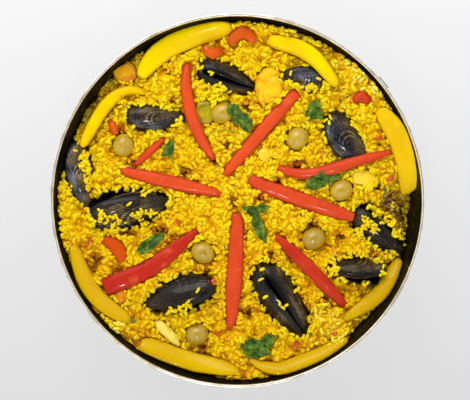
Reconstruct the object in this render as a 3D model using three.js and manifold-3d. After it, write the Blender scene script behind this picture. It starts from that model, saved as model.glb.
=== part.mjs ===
// A pan of seafood paella: a round non-stick pan filled with saffron rice, dressed with mussels in their
// shells, whole green olives, spokes of red pepper, a ring of yellow pepper, a prawn, pieces of seafood
// and vegetable, and coriander leaves.
//
// Millimetres, +Z up. The origin is the middle of the pan's foot, on the table. +Y points away from the
// cook. Every piece is its own closed solid, in a mesh of its own.

import * as THREE from "three";
import { ConvexGeometry } from "three/addons/geometries/ConvexGeometry.js";
import { mergeVertices } from "three/addons/utils/BufferGeometryUtils.js";
import Module from "manifold-3d";

const wasm = await Module();
wasm.setup();

// ---- Driving dimensions ---------------------------------------------------------------------------

const CLEARANCE = 0.4; // free gap kept between neighbouring pieces

const PAN = {
  rimRadius: 160,
  height: 62,
  wall: 2.6,
  floor: 4,
  bead: 1.5, // radius of the bare metal bead that ends the wall
  wallLean: 10, // degrees from upright
  cornerRadius: 16, // inside, where the wall meets the floor
  cornerSteps: 3,
  segments: 48,
};

const BRACKET = { at: 39, width: 13, stand: 1.6, top: 57, drop: 20 }; // under the rim, at 39 degrees

const RICE = {
  edge: 45, // height of the bare core near the wall
  centre: 45, // and in the middle
  bank: 2.4, // how far it is banked up against the wall
  lump: 0.9, // slow unevenness of the core
  ridge: 1.6, // how far a grain-sized bump stands over the core
  furrow: 1.4, // and how far the gaps between bumps sink
  spacing: 6.5, // between neighbouring points of the relief
  seed: 11,
};

// Where the rice is heaped against the wall or has slid away from it: degrees, degrees, millimetres.
const EDGE_SWELLS = [
  { at: -9, spread: 14, rise: -17 },
  { at: -42, spread: 9, rise: -7 },
  { at: -90, spread: 7, rise: 3 },
  { at: -106, spread: 9, rise: -6 },
  { at: 150, spread: 16, rise: -6 },
  { at: 116, spread: 10, rise: -4 },
  { at: 44, spread: 7, rise: 5 },
];
const EDGE_BAND = 0.74; // share of the radius past which a swell begins

const MUSSEL = {
  widthShare: 0.5, // of the length, where a mussel states none of its own
  depthShare: 0.17, // of the length, one valve
  shell: 1.6,
  hingeLean: 16, // degrees between the length and the hinge line, which starts at the pointed end
  around: 10,
  along: 6,
};

// turn: plan direction from the pointed end to the round end. roll: about the length, -90 stands the
// mussel on its hinge with the gape up. dip: pointed end down. rise: middle of the shell over the core.
const MUSSELS = [
  { name: "mussel_top", at: [-9.5, 106.5], length: 53, turn: 160, roll: -104, dip: 4, gape: 24, rise: -2.5 },
  { name: "mussel_upper_left", at: [-71, 73], length: 54, turn: 178, roll: -8, dip: 5, gape: 0, rise: 0, widthShare: 0.4 },
  { name: "mussel_left_wall", at: [-136.5, 23.5], length: 59, turn: 99, roll: 24, dip: 3, gape: 0, rise: -5, widthShare: 0.42 },
  { name: "mussel_left", at: [-93, -5], length: 75, turn: 188, roll: -34, dip: 2, gape: 16, rise: -6 },
  { name: "mussel_lower_left", at: [-50, -83], length: 65, turn: 14, roll: -24, dip: 2, gape: 17, rise: -3 },
  { name: "mussel_lower_right", at: [39, -87], length: 76, turn: 124, roll: -92, dip: 2, gape: 26, rise: -6.5 },
  { name: "mussel_upper_right", at: [96, 52.5], length: 57, turn: 127, roll: 6, dip: 4, gape: 0, rise: -1.5 },
  { name: "mussel_top_right", at: [57, 105], length: 37, turn: -14, roll: 24, dip: 0, gape: 0, rise: -1.5, widthShare: 0.58 },
  { name: "mussel_right", at: [123, -25], length: 57, turn: 139, roll: -48, dip: -4, gape: 18, rise: -4 },
  { name: "mussel_lower_right_wall", at: [102.8, -58.8], length: 49, turn: -5, roll: -34, dip: 0, gape: 20, rise: -3, widthShare: 0.54 },
];

const OLIVE = { diameter: 19.4, length: 21.5, sunk: 1.8, dimple: 0.8 };
const OLIVES = [
  { name: "olive_upper_left", at: [-99, 48], turn: 75 },
  { name: "olive_upper", at: [-13, 76], turn: 20 },
  { name: "olive_upper_right", at: [52, 54], turn: 60 },
  { name: "olive_right", at: [90, 9], turn: 10 },
  { name: "olive_lower_right", at: [66, -33], turn: 15 },
  { name: "olive_lower", at: [-30, -45], turn: 150 },
  { name: "olive_bottom", at: [-35, -116], turn: 5 },
];

// Pepper strips run through plan points. width: widest. ends: share of it at the start and the end.
// peak: where along the strip it is widest, if not in the middle.
const STRIP = { bedded: 1.2, crown: 0.9, stationEvery: 14, least: 4, tilt: 3 };
const YELLOW_THICK = 5.5;
const YELLOW_STRIPS = [
  { name: "yellow_top_left", through: [[-5, 147], [-41, 141], [-71, 123], [-84, 106]], width: 17, ends: [0.5, 0.6], peak: 0.65 },
  { name: "yellow_left", through: [[-79, 93], [-96, 97], [-118, 76], [-134, 46]], width: 10.5, ends: [0.5, 0.55] },
  { name: "yellow_top_right", through: [[26, 139], [60, 128], [86, 99]], width: 13, ends: [0.7, 0.6] },
  { name: "yellow_right", through: [[118, 77], [140, 44], [146, 9]], width: 17, ends: [0.6, 0.8] },
  { name: "yellow_lower_right", through: [[143, -51], [126, -78], [92, -104]], width: 12, ends: [0.55, 0.5] },
  { name: "yellow_bottom_right", through: [[10, -137], [34, -146], [97, -122]], width: 10, ends: [0.6, 0.5] },
  { name: "yellow_bottom_left", through: [[-83, -122], [-42, -138], [1, -146]], width: 14, ends: [0.8, 0.45] },
  { name: "yellow_lower_left", through: [[-141, -38], [-127, -77], [-93, -105]], width: 12.5, ends: [0.5, 0.7] },
];
const RED_THICK = 4.6;
const RED_STRIPS = [
  { name: "red_upper_left", through: [[-44, 119], [-45, 100], [-37, 64], [-20, 35]], width: 11, ends: [0.5, 0.4] },
  { name: "red_upper_right", through: [[52, 94], [21, 60], [-11, 22]], width: 11.5, ends: [0.85, 0.6] },
  { name: "red_right", through: [[132, 42], [93, 31], [58, 22], [35, 28]], width: 10, ends: [0.4, 0.6] },
  { name: "red_centre_right", through: [[10, 18], [54, 1], [101, -15]], width: 13, ends: [0.75, 0.6] },
  { name: "red_left", through: [[-101, 26], [-58, 16], [-15, 6]], width: 12, ends: [0.45, 0.45] },
  { name: "red_lower_right", through: [[33, -30], [61, -57], [94, -92]], width: 12, ends: [0.35, 0.5] },
  { name: "red_bottom", through: [[0, -11], [-2, -58], [-6, -111]], width: 14, ends: [0.65, 0.35], peak: 0.66 },
  { name: "red_lower_left", through: [[-116, -75], [-76, -59], [-33, -24]], width: 16, ends: [0.9, 0.22], peak: 0.3 },
];
const SMALL_RED_THICK = 3.6;
const SMALL_RED_STRIPS = [
  { name: "red_bit_left", through: [[-85, 37], [-76, 44], [-65, 55]], width: 6, ends: [0.6, 0.6] },
  { name: "red_bit_top", through: [[-6, 133], [6, 141], [17, 135]], width: 9.5, ends: [0.5, 0.6] },
  { name: "red_bit_top_left", through: [[-29, 129], [-22, 123], [-13, 128]], width: 7, ends: [0.6, 0.5] },
  { name: "red_bit_upper_right", through: [[100, 86], [108, 91], [114, 84]], width: 9, ends: [0.5, 0.6] },
  { name: "red_bit_upper_left", through: [[-111, 70], [-108, 63], [-105, 57]], width: 7, ends: [0.5, 0.7] },
  { name: "red_bit_lower_left", through: [[-113, -36], [-103, -43], [-97, -54]], width: 8, ends: [0.5, 0.5] },
];

const PRAWN = { name: "prawn", through: [[36, 102], [30, 110], [22, 102], [21, 91], [25, 80]], thick: 17, tail: 0.4 };
const SQUID = { name: "squid_strip", through: [[-70, -106], [-60, -115], [-52, -125]], thick: 10, tail: 0.6 };
const BAR_SUNK = 2; // how far the middle of such a bar lies under the core's surface

// Lumps are squarish rounded pieces: size is length, width and height.
const LUMPS = [
  { name: "seafood_upper_left", at: [-98, 111], size: [21, 20, 13], turn: 20, sunk: 0, colour: "amber" },
  { name: "seafood_right", at: [113, 20], size: [22, 13, 11], turn: -8, sunk: 2, colour: "pale" },
  { name: "seafood_centre", at: [24, 39], size: [12, 14, 9], turn: 30, sunk: 2, colour: "pale" },
  { name: "seafood_lower_left", at: [-100.5, -84], size: [14, 12, 9], turn: 30, sunk: 2.5, colour: "amber" },
  { name: "green_pepper_upper", at: [-31, 78], size: [12, 19, 8], turn: -6, sunk: 1, colour: "green" },
  { name: "green_pepper_left", at: [-132, 76], size: [14, 9, 7], turn: 55, sunk: 1, colour: "green" },
];

const TENTACLES = {
  name: "squid_tentacles",
  arms: [
    [[128, 2], [134, -4], [142, -8], [146, -19]],
    [[126, -4], [132, 0], [139, -1], [145, -9]],
  ],
  thick: 6,
  tail: 0.4,
  sunk: -0.5,
};

// Leaves: size is length and width; lobes and notch give the outline; curl lifts the ends.
const LEAF = { thick: 0.9, points: 22, lift: 2.9 };
const LEAVES = [
  { name: "leaf_upper", at: [3, 70], size: [24, 17], turn: -50, lobes: 5, notch: 0.42, curl: 2 },
  { name: "leaf_upper_right", at: [66, 78], size: [19, 13], turn: 60, lobes: 3, notch: 0.4, curl: 2 },
  { name: "leaf_left", at: [-59, 44], size: [17, 9], turn: 65, lobes: 3, notch: 0.3, curl: 2 },
  { name: "leaf_right", at: [74, 16], size: [27, 13], turn: 14, lobes: 5, notch: 0.42, curl: 2 },
  { name: "leaf_centre", at: [16, -18], size: [32, 15], turn: -62, lobes: 3, notch: 0.5, curl: 2 },
  { name: "leaf_lower_left", at: [-75, -37], size: [28, 11], turn: 33, lobes: 1, notch: 0.1, curl: 3 },
  { name: "leaf_bottom", at: [18, -126], size: [31, 19], turn: -14, lobes: 3, notch: 0.28, curl: 2 },
];

const COLOURS = {
  nonstick: { color: 0x24221c, roughness: 0.42, metalness: 0.2 },
  bracket: { color: 0x2b2d28, roughness: 0.5, metalness: 0.3 },
  rice: { color: 0xf0c012, roughness: 0.62, metalness: 0 },
  shell: { color: 0x23232c, roughness: 0.38, metalness: 0 },
  olive: { color: 0xb09a3c, roughness: 0.25, metalness: 0 },
  yellow: { color: 0xf4c90e, roughness: 0.28, metalness: 0 },
  red: { color: 0xe0432a, roughness: 0.3, metalness: 0 },
  prawn: { color: 0xf0bc3c, roughness: 0.45, metalness: 0 },
  pale: { color: 0xf2d35e, roughness: 0.45, metalness: 0 },
  amber: { color: 0xe5a51c, roughness: 0.45, metalness: 0 },
  green: { color: 0xb4a516, roughness: 0.45, metalness: 0 },
  squid: { color: 0x6d4a35, roughness: 0.5, metalness: 0 },
  leaf: { color: 0x3f6f3a, roughness: 0.55, metalness: 0 },
};

// ---- Helpers --------------------------------------------------------------------------------------

const radians = THREE.MathUtils.degToRad;
const clamp = THREE.MathUtils.clamp;

// A seeded random number source, 0 to 1.
function randomFrom(seed) {
  let state = seed >>> 0;
  return () => {
    state = (state + 0x6d2b79f5) >>> 0;
    let t = Math.imul(state ^ (state >>> 15), 1 | state);
    t = (t + Math.imul(t ^ (t >>> 7), 61 | t)) ^ t;
    return ((t ^ (t >>> 14)) >>> 0) / 4294967296;
  };
}

// Moves each vertex of a closed geometry to where place(vertex) puts it.
function reshaped(geometry, place) {
  const positions = geometry.attributes.position;
  const vertex = new THREE.Vector3();
  for (let i = 0; i < positions.count; i += 1) {
    place(vertex.fromBufferAttribute(positions, i));
    positions.setXYZ(i, vertex.x, vertex.y, vertex.z);
  }
  return geometry;
}

function signedVolume(points, corners) {
  const [a, b, c] = [new THREE.Vector3(), new THREE.Vector3(), new THREE.Vector3()];
  let sum = 0;
  for (let i = 0; i < corners.length; i += 3) {
    a.fromArray(points, corners[i] * 3);
    b.fromArray(points, corners[i + 1] * 3);
    c.fromArray(points, corners[i + 2] * 3);
    sum += a.dot(b.cross(c));
  }
  return sum;
}

// A closed geometry as a solid, its faces turned outwards.
function solidFrom(geometry) {
  const bare = geometry.clone();
  bare.deleteAttribute("normal");
  bare.deleteAttribute("uv");
  const merged = mergeVertices(bare, 1e-3);
  const points = merged.attributes.position.array;
  const corners = [];
  for (let i = 0; i < merged.index.count; i += 3) {
    const [a, b, c] = [0, 1, 2].map((k) => merged.index.getX(i + k));
    if (a !== b && b !== c && c !== a) corners.push(a, b, c);
  }
  if (signedVolume(points, corners) < 0) corners.reverse();
  return new wasm.Manifold(
    new wasm.Mesh({ numProp: 3, vertProperties: points, triVerts: Uint32Array.from(corners) }),
  );
}

// The largest single body of a solid.
function largestBody(solid) {
  return solid.decompose().reduce((most, body) => (body.volume() > most.volume() ? body : most));
}

function geometryFrom(solid) {
  const { vertProperties, triVerts } = solid.getMesh();
  const geometry = new THREE.BufferGeometry();
  geometry.setAttribute("position", new THREE.BufferAttribute(vertProperties, 3));
  geometry.setIndex(new THREE.BufferAttribute(triVerts, 1));
  geometry.computeVertexNormals();
  return geometry;
}

const paella = new THREE.Group();
paella.name = "paella";

function addMesh(name, solid, colour) {
  const material = new THREE.MeshStandardMaterial({ ...COLOURS[colour], side: THREE.DoubleSide });
  const mesh = new THREE.Mesh(geometryFrom(solid), material);
  mesh.name = name;
  paella.add(mesh);
  return mesh;
}

function curveThrough(points) {
  return new THREE.CatmullRomCurve3(points.map(([x, y]) => new THREE.Vector3(x, y, 0)), false, "centripetal");
}

// ---- The pan --------------------------------------------------------------------------------------

// The inside of the pan from the middle of its floor to the top of its wall, drawn in by inset.
function cavityProfile(inset = 0) {
  const lean = radians(PAN.wallLean);
  const radius = PAN.cornerRadius;
  const top = PAN.height - PAN.bead;
  const topRadius = PAN.rimRadius - 2 * PAN.bead;
  const cornerZ = PAN.floor + radius;
  const cornerEndZ = cornerZ - radius * Math.sin(lean);
  const cornerX = topRadius - (top - cornerEndZ) * Math.tan(lean) - radius * Math.cos(lean);
  const profile = [new THREE.Vector2(0, PAN.floor + inset)];
  for (let i = 0; i <= PAN.cornerSteps; i += 1) {
    const angle = -Math.PI / 2 + (i / PAN.cornerSteps) * (Math.PI / 2 - lean);
    profile.push(
      new THREE.Vector2(
        cornerX + (radius - inset) * Math.cos(angle),
        cornerZ + (radius - inset) * Math.sin(angle),
      ),
    );
  }
  profile.push(new THREE.Vector2(topRadius - inset / Math.cos(lean), top));
  return profile;
}

function lathed(profile) {
  return new THREE.LatheGeometry(profile, PAN.segments).rotateX(Math.PI / 2);
}

// Inner radius of the wall at a height above the rounded corner.
function wallRadius(z) {
  const top = PAN.height - PAN.bead;
  return PAN.rimRadius - 2 * PAN.bead - (top - z) * Math.tan(radians(PAN.wallLean));
}

// What is left of a solid inside the pan, just clear of its wall.
function offTheWall(solid) {
  const filling = cavityProfile(CLEARANCE);
  filling.push(new THREE.Vector2(0, filling.at(-1).y));
  return solid.intersect(solidFrom(lathed(filling)));
}

function panSolid() {
  const inside = cavityProfile();
  const outside = cavityProfile(-PAN.wall).slice(1, -1);
  outside.forEach((point) => {
    point.y = Math.max(0, point.y + PAN.wall - PAN.floor);
  });
  const top = inside.at(-1);
  const { bead, rimRadius, height, wall } = PAN;
  const beadLine = [
    new THREE.Vector2(rimRadius - bead, height),
    new THREE.Vector2(rimRadius - 0.2, height - 0.6 * bead),
    new THREE.Vector2(rimRadius, height - 1.5 * bead),
    new THREE.Vector2(rimRadius - 0.5 * bead, height - 2.4 * bead),
  ];
  const drawnIn = 2.4 * bead * Math.tan(radians(PAN.wallLean));
  const underBead = new THREE.Vector2(top.x + wall - 0.5 - drawnIn, height - 2.8 * bead);
  const profile = [...inside, ...beadLine, underBead, ...outside.reverse(), new THREE.Vector2(0, 0)];
  return solidFrom(lathed(profile));
}

// A small pressed lug on the outside of the wall, where a detachable handle clips on.
function bracketSolid() {
  const inner = (z) => wallRadius(z) + PAN.wall / Math.cos(radians(PAN.wallLean)) + 1;
  const outer = PAN.rimRadius + BRACKET.stand;
  const foot = BRACKET.top - BRACKET.drop;
  const side = new THREE.Shape([
    new THREE.Vector2(inner(BRACKET.top), BRACKET.top),
    new THREE.Vector2(outer, BRACKET.top),
    new THREE.Vector2(outer, BRACKET.top - 0.6 * BRACKET.drop),
    new THREE.Vector2(inner(foot) + 2, foot),
    new THREE.Vector2(inner(foot), foot),
  ]);
  const lug = new THREE.ExtrudeGeometry(side, { depth: BRACKET.width, bevelEnabled: false, steps: 1 });
  lug.translate(0, 0, -BRACKET.width / 2).rotateX(Math.PI / 2).rotateZ(radians(BRACKET.at));
  return solidFrom(lug);
}

// ---- The rice -------------------------------------------------------------------------------------

// Height of the bare rice core: a low dome with slow lumps, heaped or fallen away along the wall.
function coreHeight(x, y) {
  const share = Math.hypot(x, y) / wallRadius(RICE.edge);
  const angle = THREE.MathUtils.radToDeg(Math.atan2(y, x));
  const reach = THREE.MathUtils.smoothstep(share, EDGE_BAND, 1);
  const swell = EDGE_SWELLS.reduce((sum, { at, spread, rise }) => {
    const away = ((angle - at + 540) % 360) - 180;
    return sum + rise * Math.exp(-((away / spread) ** 2));
  }, 0);
  const lumps = Math.sin(x / 14 + 1.3) * Math.cos(y / 11 - 0.4) + 0.6 * Math.sin((x + 1.7 * y) / 9);
  const dome = RICE.edge + (RICE.centre - RICE.edge) * (1 - share * share);
  const bank = RICE.bank * THREE.MathUtils.smoothstep(share, 0.88, 1);
  return dome + bank + reach * swell + RICE.lump * lumps;
}

// The rice up to its uneven outline: a relief of grain-sized ridges, each two points long, over the core.
// pressed(x, y) gives the height that the relief must stay under, where something lies on the rice.
function riceSolid(pressed, hollows) {
  const reach = PAN.rimRadius + 2 * RICE.spacing;
  const rowGap = (RICE.spacing * Math.sqrt(3)) / 2;
  const rows = Math.ceil((2 * reach) / rowGap);
  const columns = Math.ceil((2 * reach) / RICE.spacing) + Math.ceil(rows / 2);
  const random = randomFrom(RICE.seed);
  const cells = Array.from({ length: (rows + 1) * (columns + 1) }, () => ({
    jitterX: (random() - 0.5) * 0.5 * RICE.spacing,
    jitterY: (random() - 0.5) * 0.5 * RICE.spacing,
    lift: -RICE.furrow * (0.6 + 0.8 * random()),
    taken: false,
  }));
  const cell = (i, j) => cells[j * (columns + 1) + i];
  const neighbours = [[1, 0], [0, 1], [1, -1]];
  for (let j = 1; j < rows; j += 1) {
    for (let i = 1; i < columns; i += 1) {
      const [di, dj] = neighbours[Math.floor(random() * 3)];
      const pair = [cell(i, j), cell(i + di, j + dj)];
      if (random() > 0.62 || pair.some((c) => c.taken)) continue;
      const lift = RICE.ridge * (0.55 + 0.65 * random());
      pair.forEach((c) => {
        c.lift = lift;
        c.taken = true;
      });
    }
  }
  const bottom = -5;
  const slab = new THREE.BoxGeometry(1, 1, 1, columns, rows, 1);
  reshaped(slab, (p) => {
    const i = Math.round((p.x + 0.5) * columns);
    const j = Math.round((0.5 - p.y) * rows);
    const here = cell(i, j);
    const upper = p.z > 0;
    p.x = (i - 0.5 * (rows - j) - (columns - rows / 2) / 2) * RICE.spacing + here.jitterX;
    p.y = (rows / 2 - j) * rowGap + here.jitterY;
    p.z = upper ? Math.min(coreHeight(p.x, p.y) + here.lift, pressed(p.x, p.y)) : bottom;
  });
  return largestBody(offTheWall(solidFrom(slab)).subtract(wasm.Manifold.union(hollows)));
}

// ---- Shapes that toppings are made from -----------------------------------------------------------

// Support for what is laid on later: the rice, or any piece put down so far.
const laidDown = [];
const probe = new THREE.Raycaster();
const UP = new THREE.Vector3(0, 0, 1);
const DOWN = new THREE.Vector3(0, 0, -1);

function pieceTopAt(x, y) {
  probe.set(new THREE.Vector3(x, y, 3 * PAN.height), DOWN);
  const hits = probe.intersectObjects(laidDown, false);
  return hits.length ? hits[0].point.z : -Infinity;
}

// Share of a strip's full width at u.
function stripFullness({ ends, peak = 0.5 }, u) {
  const [end, share] = u < peak ? [ends[0], u / peak] : [ends[1], (1 - u) / (1 - peak)];
  return end + (1 - end) * Math.sin((Math.PI / 2) * share) ** 0.6;
}

// Middle of a strip at u, drawn in where its edge would otherwise meet the wall at height z.
function clearOfWall(curve, u, half, z) {
  const middle = curve.getPointAt(u);
  const limit = wallRadius(Math.min(z, RICE.edge + RICE.bank)) - half - 1.5 * CLEARANCE;
  return middle.multiplyScalar(Math.min(1, limit / middle.length()));
}

// Heights along a plan curve at which a limp strip comes to rest, bridging the hollows between supports.
function restingLine(strip, curve, stations) {
  const line = [];
  for (let k = 0; k <= stations; k += 1) {
    let support = -Infinity;
    for (let step = -4; step <= 4; step += 1) {
      const u = clamp((k + 0.2 * step) / stations, 0, 1);
      const half = (strip.width / 2) * stripFullness(strip, u);
      const middle = clearOfWall(curve, u, half, Infinity);
      const along = curve.getTangentAt(u);
      for (let side = -1.05; side < 1.1; side += 0.35) {
        const top = pieceTopAt(middle.x - along.y * side * half, middle.y + along.x * side * half);
        support = Math.max(support, top + CLEARANCE + 0.2);
      }
    }
    const centre = curve.getPointAt(k / stations);
    line.push(Math.max(coreHeight(centre.x, centre.y) - STRIP.bedded, support));
  }
  for (let pass = 0; pass < 12; pass += 1) {
    for (let k = 1; k < stations; k += 1) {
      line[k] = Math.max(line[k], (line[k - 1] + line[k + 1]) / 2 - 0.5);
    }
  }
  return line;
}

// A flat strip with a crowned skin side, tapering to its two ends. It leans with the rice below it and
// is kept clear of the wall.
function stripSolid(strip, thick) {
  const curve = curveThrough(strip.through);
  const stations = Math.max(STRIP.least, Math.round(curve.getLength() / STRIP.stationEvery));
  const rest = restingLine(strip, curve, stations);
  const box = new THREE.BoxGeometry(1, 1, 1, stations, 2, 1);
  reshaped(box, (p) => {
    const k = Math.round((p.x + 0.5) * stations);
    const u = k / stations;
    const side = Math.round(p.y * 2);
    const fullness = stripFullness(strip, u);
    const half = (strip.width / 2) * fullness;
    const middle = clearOfWall(curve, u, half, rest[k]);
    const along = curve.getTangentAt(u);
    const slope = coreHeight(middle.x - along.y * half, middle.y + along.x * half)
      - coreHeight(middle.x + along.y * half, middle.y - along.x * half);
    const tilt = clamp(slope / 2, -STRIP.tilt, STRIP.tilt);
    const plump = thick * (0.55 + 0.45 * fullness);
    p.x = middle.x - along.y * side * half;
    p.y = middle.y + along.x * side * half;
    p.z = rest[k] + tilt * side + (p.z > 0 ? plump - STRIP.crown * side * side : 0.4 * side * side);
  });
  return solidFrom(box);
}

// A round bar along a plan curve, thin at its last end, half sunk in the rice.
function barSolid({ through, thick, tail, sunk = BAR_SUNK }, sides, stations) {
  const curve = curveThrough(through);
  const ball = new THREE.SphereGeometry(1, sides, stations).rotateZ(Math.PI / 2);
  reshaped(ball, (p) => {
    const u = Math.acos(clamp(-p.x, -1, 1)) / Math.PI;
    const round = Math.hypot(p.y, p.z);
    const middle = curve.getPointAt(u);
    const along = curve.getTangentAt(u);
    const taper = 1 - (1 - tail) * u ** 1.4;
    const radius = (thick / 2) * taper * Math.sqrt(round);
    const [across, up] = round > 1e-6 ? [p.y / round, p.z / round] : [0, 0];
    p.x = middle.x - along.y * across * radius;
    p.y = middle.y + along.x * across * radius;
    p.z = coreHeight(middle.x, middle.y) - sunk + up * radius;
  });
  return solidFrom(ball);
}

// A squarish rounded piece half sunk in the rice.
function lumpSolid({ at, size, turn, sunk }, grow = 0) {
  const squared = (v) => Math.sign(v) * Math.abs(v) ** 0.75;
  const ball = new THREE.SphereGeometry(1, 9, 5);
  reshaped(ball, (p) => {
    const wobble = 1 + 0.06 * Math.sin(5 * p.x + at[0]) + 0.05 * Math.cos(4 * p.y + at[1]);
    p.set(
      squared(p.x) * (size[0] / 2) * wobble,
      squared(p.y) * (size[1] / 2) * wobble,
      squared(p.z) * (size[2] / 2),
    );
    p.addScaledVector(p.clone().normalize(), grow);
  });
  ball.rotateZ(radians(turn)).translate(at[0], at[1], coreHeight(...at) - sunk);
  return solidFrom(ball);
}

// ---- Mussels --------------------------------------------------------------------------------------

// Share of the full width at t along the shell, pointed at 0 and round at 1.
function musselFullness(t) {
  return (t ** 0.62 * (1 - t) ** 0.42) / (0.596 ** 0.62 * 0.404 ** 0.42);
}

// One valve, domed upwards, hollow below, or with a domed underside too where the shell is shut.
function valveGeometry({ length, gape, widthShare = MUSSEL.widthShare }) {
  const ball = new THREE.SphereGeometry(1, MUSSEL.around, MUSSEL.along).rotateZ(Math.PI / 2);
  const halfWidth = (length * widthShare) / 2;
  const depth = length * MUSSEL.depthShare;
  return reshaped(ball, (p) => {
    const t = clamp((1 + p.x) / 2, 0, 1);
    const fullness = musselFullness(t);
    const round = Math.hypot(p.y, p.z);
    const [across, up] = round > 1e-6 ? [p.y / round, p.z / round] : [0, 0];
    const dome = depth * fullness ** 0.8 * Math.abs(up);
    p.x = (t - 0.5) * length;
    p.y = halfWidth * (across * fullness + 0.16 * Math.sin(Math.PI * t));
    if (up >= 0) p.z = dome;
    else p.z = gape ? Math.max(0, dome - MUSSEL.shell) - 0.3 * Math.abs(up) : -dome;
  });
}

function poseMussel(geometry, { at, turn, roll, dip, rise }) {
  return geometry
    .rotateX(radians(roll))
    .rotateY(radians(-dip))
    .rotateZ(radians(turn))
    .translate(at[0], at[1], coreHeight(...at) + rise);
}

// Both valves: shut, or gaping from a hinge line that starts at the pointed end, where they join.
function musselSolid(mussel) {
  if (!mussel.gape) return solidFrom(poseMussel(valveGeometry(mussel), mussel));
  const hinge = new THREE.Vector3(Math.cos(radians(MUSSEL.hingeLean)), Math.sin(radians(MUSSEL.hingeLean)), 0);
  const valves = [1, -1].map((side) => {
    const valve = valveGeometry(mussel).scale(1, 1, side);
    const opening = new THREE.Matrix4().makeRotationAxis(hinge, radians((-side * mussel.gape) / 2));
    valve.translate(mussel.length / 2, 0, 0).applyMatrix4(opening).translate(-mussel.length / 2, 0, 0);
    return solidFrom(poseMussel(valve, mussel));
  });
  return largestBody(wasm.Manifold.union(valves));
}

// The hollow that a mussel needs in the rice: its outline with the gape closed over, a little larger.
function hollowFor(mesh) {
  const points = mesh.geometry.attributes.position;
  const corners = Array.from({ length: points.count }, (_, i) => new THREE.Vector3().fromBufferAttribute(points, i));
  const around = new ConvexGeometry(corners);
  around.computeBoundingBox();
  const middle = around.boundingBox.getCenter(new THREE.Vector3());
  reshaped(around, (p) => {
    const out = p.clone().sub(middle);
    p.addScaledVector(out, (3 * CLEARANCE) / out.length() + 0.02);
  });
  return solidFrom(around);
}

// ---- Olives ---------------------------------------------------------------------------------------

function oliveSolid({ at, turn }, grow = 0) {
  const ball = new THREE.SphereGeometry(1, 8, 6).rotateZ(Math.PI / 2);
  reshaped(ball, (p) => {
    const pole = Math.abs(p.x) > 0.99 ? OLIVE.dimple : 0;
    p.set(
      p.x * (OLIVE.length / 2 + grow - pole),
      p.y * (OLIVE.diameter / 2 + grow),
      p.z * (OLIVE.diameter / 2 + grow),
    );
  });
  ball.rotateZ(radians(turn)).translate(at[0], at[1], coreHeight(...at) - OLIVE.sunk);
  return solidFrom(ball);
}

// ---- Leaves ---------------------------------------------------------------------------------------

// A thin lobed leaf, waved along its length and laid over whatever is below it.
function leafSolid({ at, size, turn, lobes, notch, curl }) {
  const outline = new THREE.Shape();
  for (let k = 0; k < LEAF.points; k += 1) {
    const angle = (k / LEAF.points) * 2 * Math.PI;
    const radius = 1 - notch * Math.sin((lobes * angle) / 2) ** 2;
    const point = [(radius * Math.cos(angle) * size[0]) / 2, (radius * Math.sin(angle) * size[1]) / 2];
    if (k) outline.lineTo(...point);
    else outline.moveTo(...point);
  }
  outline.closePath();
  const blade = new THREE.ExtrudeGeometry(outline, { depth: LEAF.thick, bevelEnabled: false, steps: 1 });
  blade.rotateZ(radians(turn)).translate(at[0], at[1], 0);
  let support = coreHeight(...at) + LEAF.lift;
  const reach = Math.max(...size) / 2 + 2;
  const face = blade.attributes.position;
  for (let k = 0; k < face.count; k += 1) {
    for (const share of [0.2, 0.6, 1, 1.1]) {
      const x = at[0] + (face.getX(k) - at[0]) * share;
      const y = at[1] + (face.getY(k) - at[1]) * share;
      support = Math.max(support, pieceTopAt(x, y) + 2 * CLEARANCE);
    }
  }
  reshaped(blade, (p) => {
    const away = Math.hypot(p.x - at[0], p.y - at[1]) / reach;
    const wave = 0.8 * Math.sin(0.45 * p.x + 0.3 * p.y);
    p.z += support + curl * away * away + Math.max(0, wave);
  });
  return solidFrom(blade);
}

// ---- Putting the dish together --------------------------------------------------------------------

addMesh("pan", panSolid(), "nonstick");
addMesh("handle_bracket", bracketSolid(), "bracket");

// Lays a topping down. The hollow is the space that the rice must leave it.
const hollows = [];
function bed(name, solid, colour, hollow) {
  const mesh = addMesh(name, offTheWall(solid), colour);
  laidDown.push(mesh);
  hollows.push(hollow ?? hollowFor(mesh));
}

for (const mussel of MUSSELS) bed(mussel.name, musselSolid(mussel), "shell");
for (const olive of OLIVES) bed(olive.name, oliveSolid(olive), "olive", oliveSolid(olive, CLEARANCE));
for (const lump of LUMPS) bed(lump.name, lumpSolid(lump), lump.colour, lumpSolid(lump, 1.3 * CLEARANCE));
bed(PRAWN.name, barSolid(PRAWN, 8, 8), "prawn");
bed(SQUID.name, barSolid(SQUID, 8, 5), "pale");
const arms = TENTACLES.arms.map((through) => barSolid({ ...TENTACLES, through }, 6, 5));
bed(TENTACLES.name, wasm.Manifold.union(arms), "squid");

const strips = [];
for (const [group, thick, colour] of [
  [SMALL_RED_STRIPS, SMALL_RED_THICK, "red"],
  [YELLOW_STRIPS, YELLOW_THICK, "yellow"],
  [RED_STRIPS, RED_THICK, "red"],
]) {
  for (const strip of group) {
    const mesh = addMesh(strip.name, stripSolid(strip, thick), colour);
    laidDown.push(mesh);
    strips.push(mesh);
  }
}
for (const leaf of LEAVES) laidDown.push(addMesh(leaf.name, leafSolid(leaf), "leaf"));

// The relief stays under every strip and under the points next to it.
function stripUnderside(x, y) {
  let lowest = Infinity;
  for (let k = 0; k <= 36; k += 1) {
    const ring = Math.ceil(k / 12);
    const reach = RICE.spacing * [0, 0.5, 1, 1.45][ring];
    const angle = ((k + ring / 2) * Math.PI) / 6;
    probe.set(new THREE.Vector3(x + reach * Math.cos(angle), y + reach * Math.sin(angle), 0), UP);
    const hits = probe.intersectObjects(strips, false);
    if (hits.length) lowest = Math.min(lowest, hits[0].point.z - 1.8 * CLEARANCE);
  }
  return lowest;
}
addMesh("rice", riceSolid(stripUnderside, hollows), "rice");

export default paella;
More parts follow.
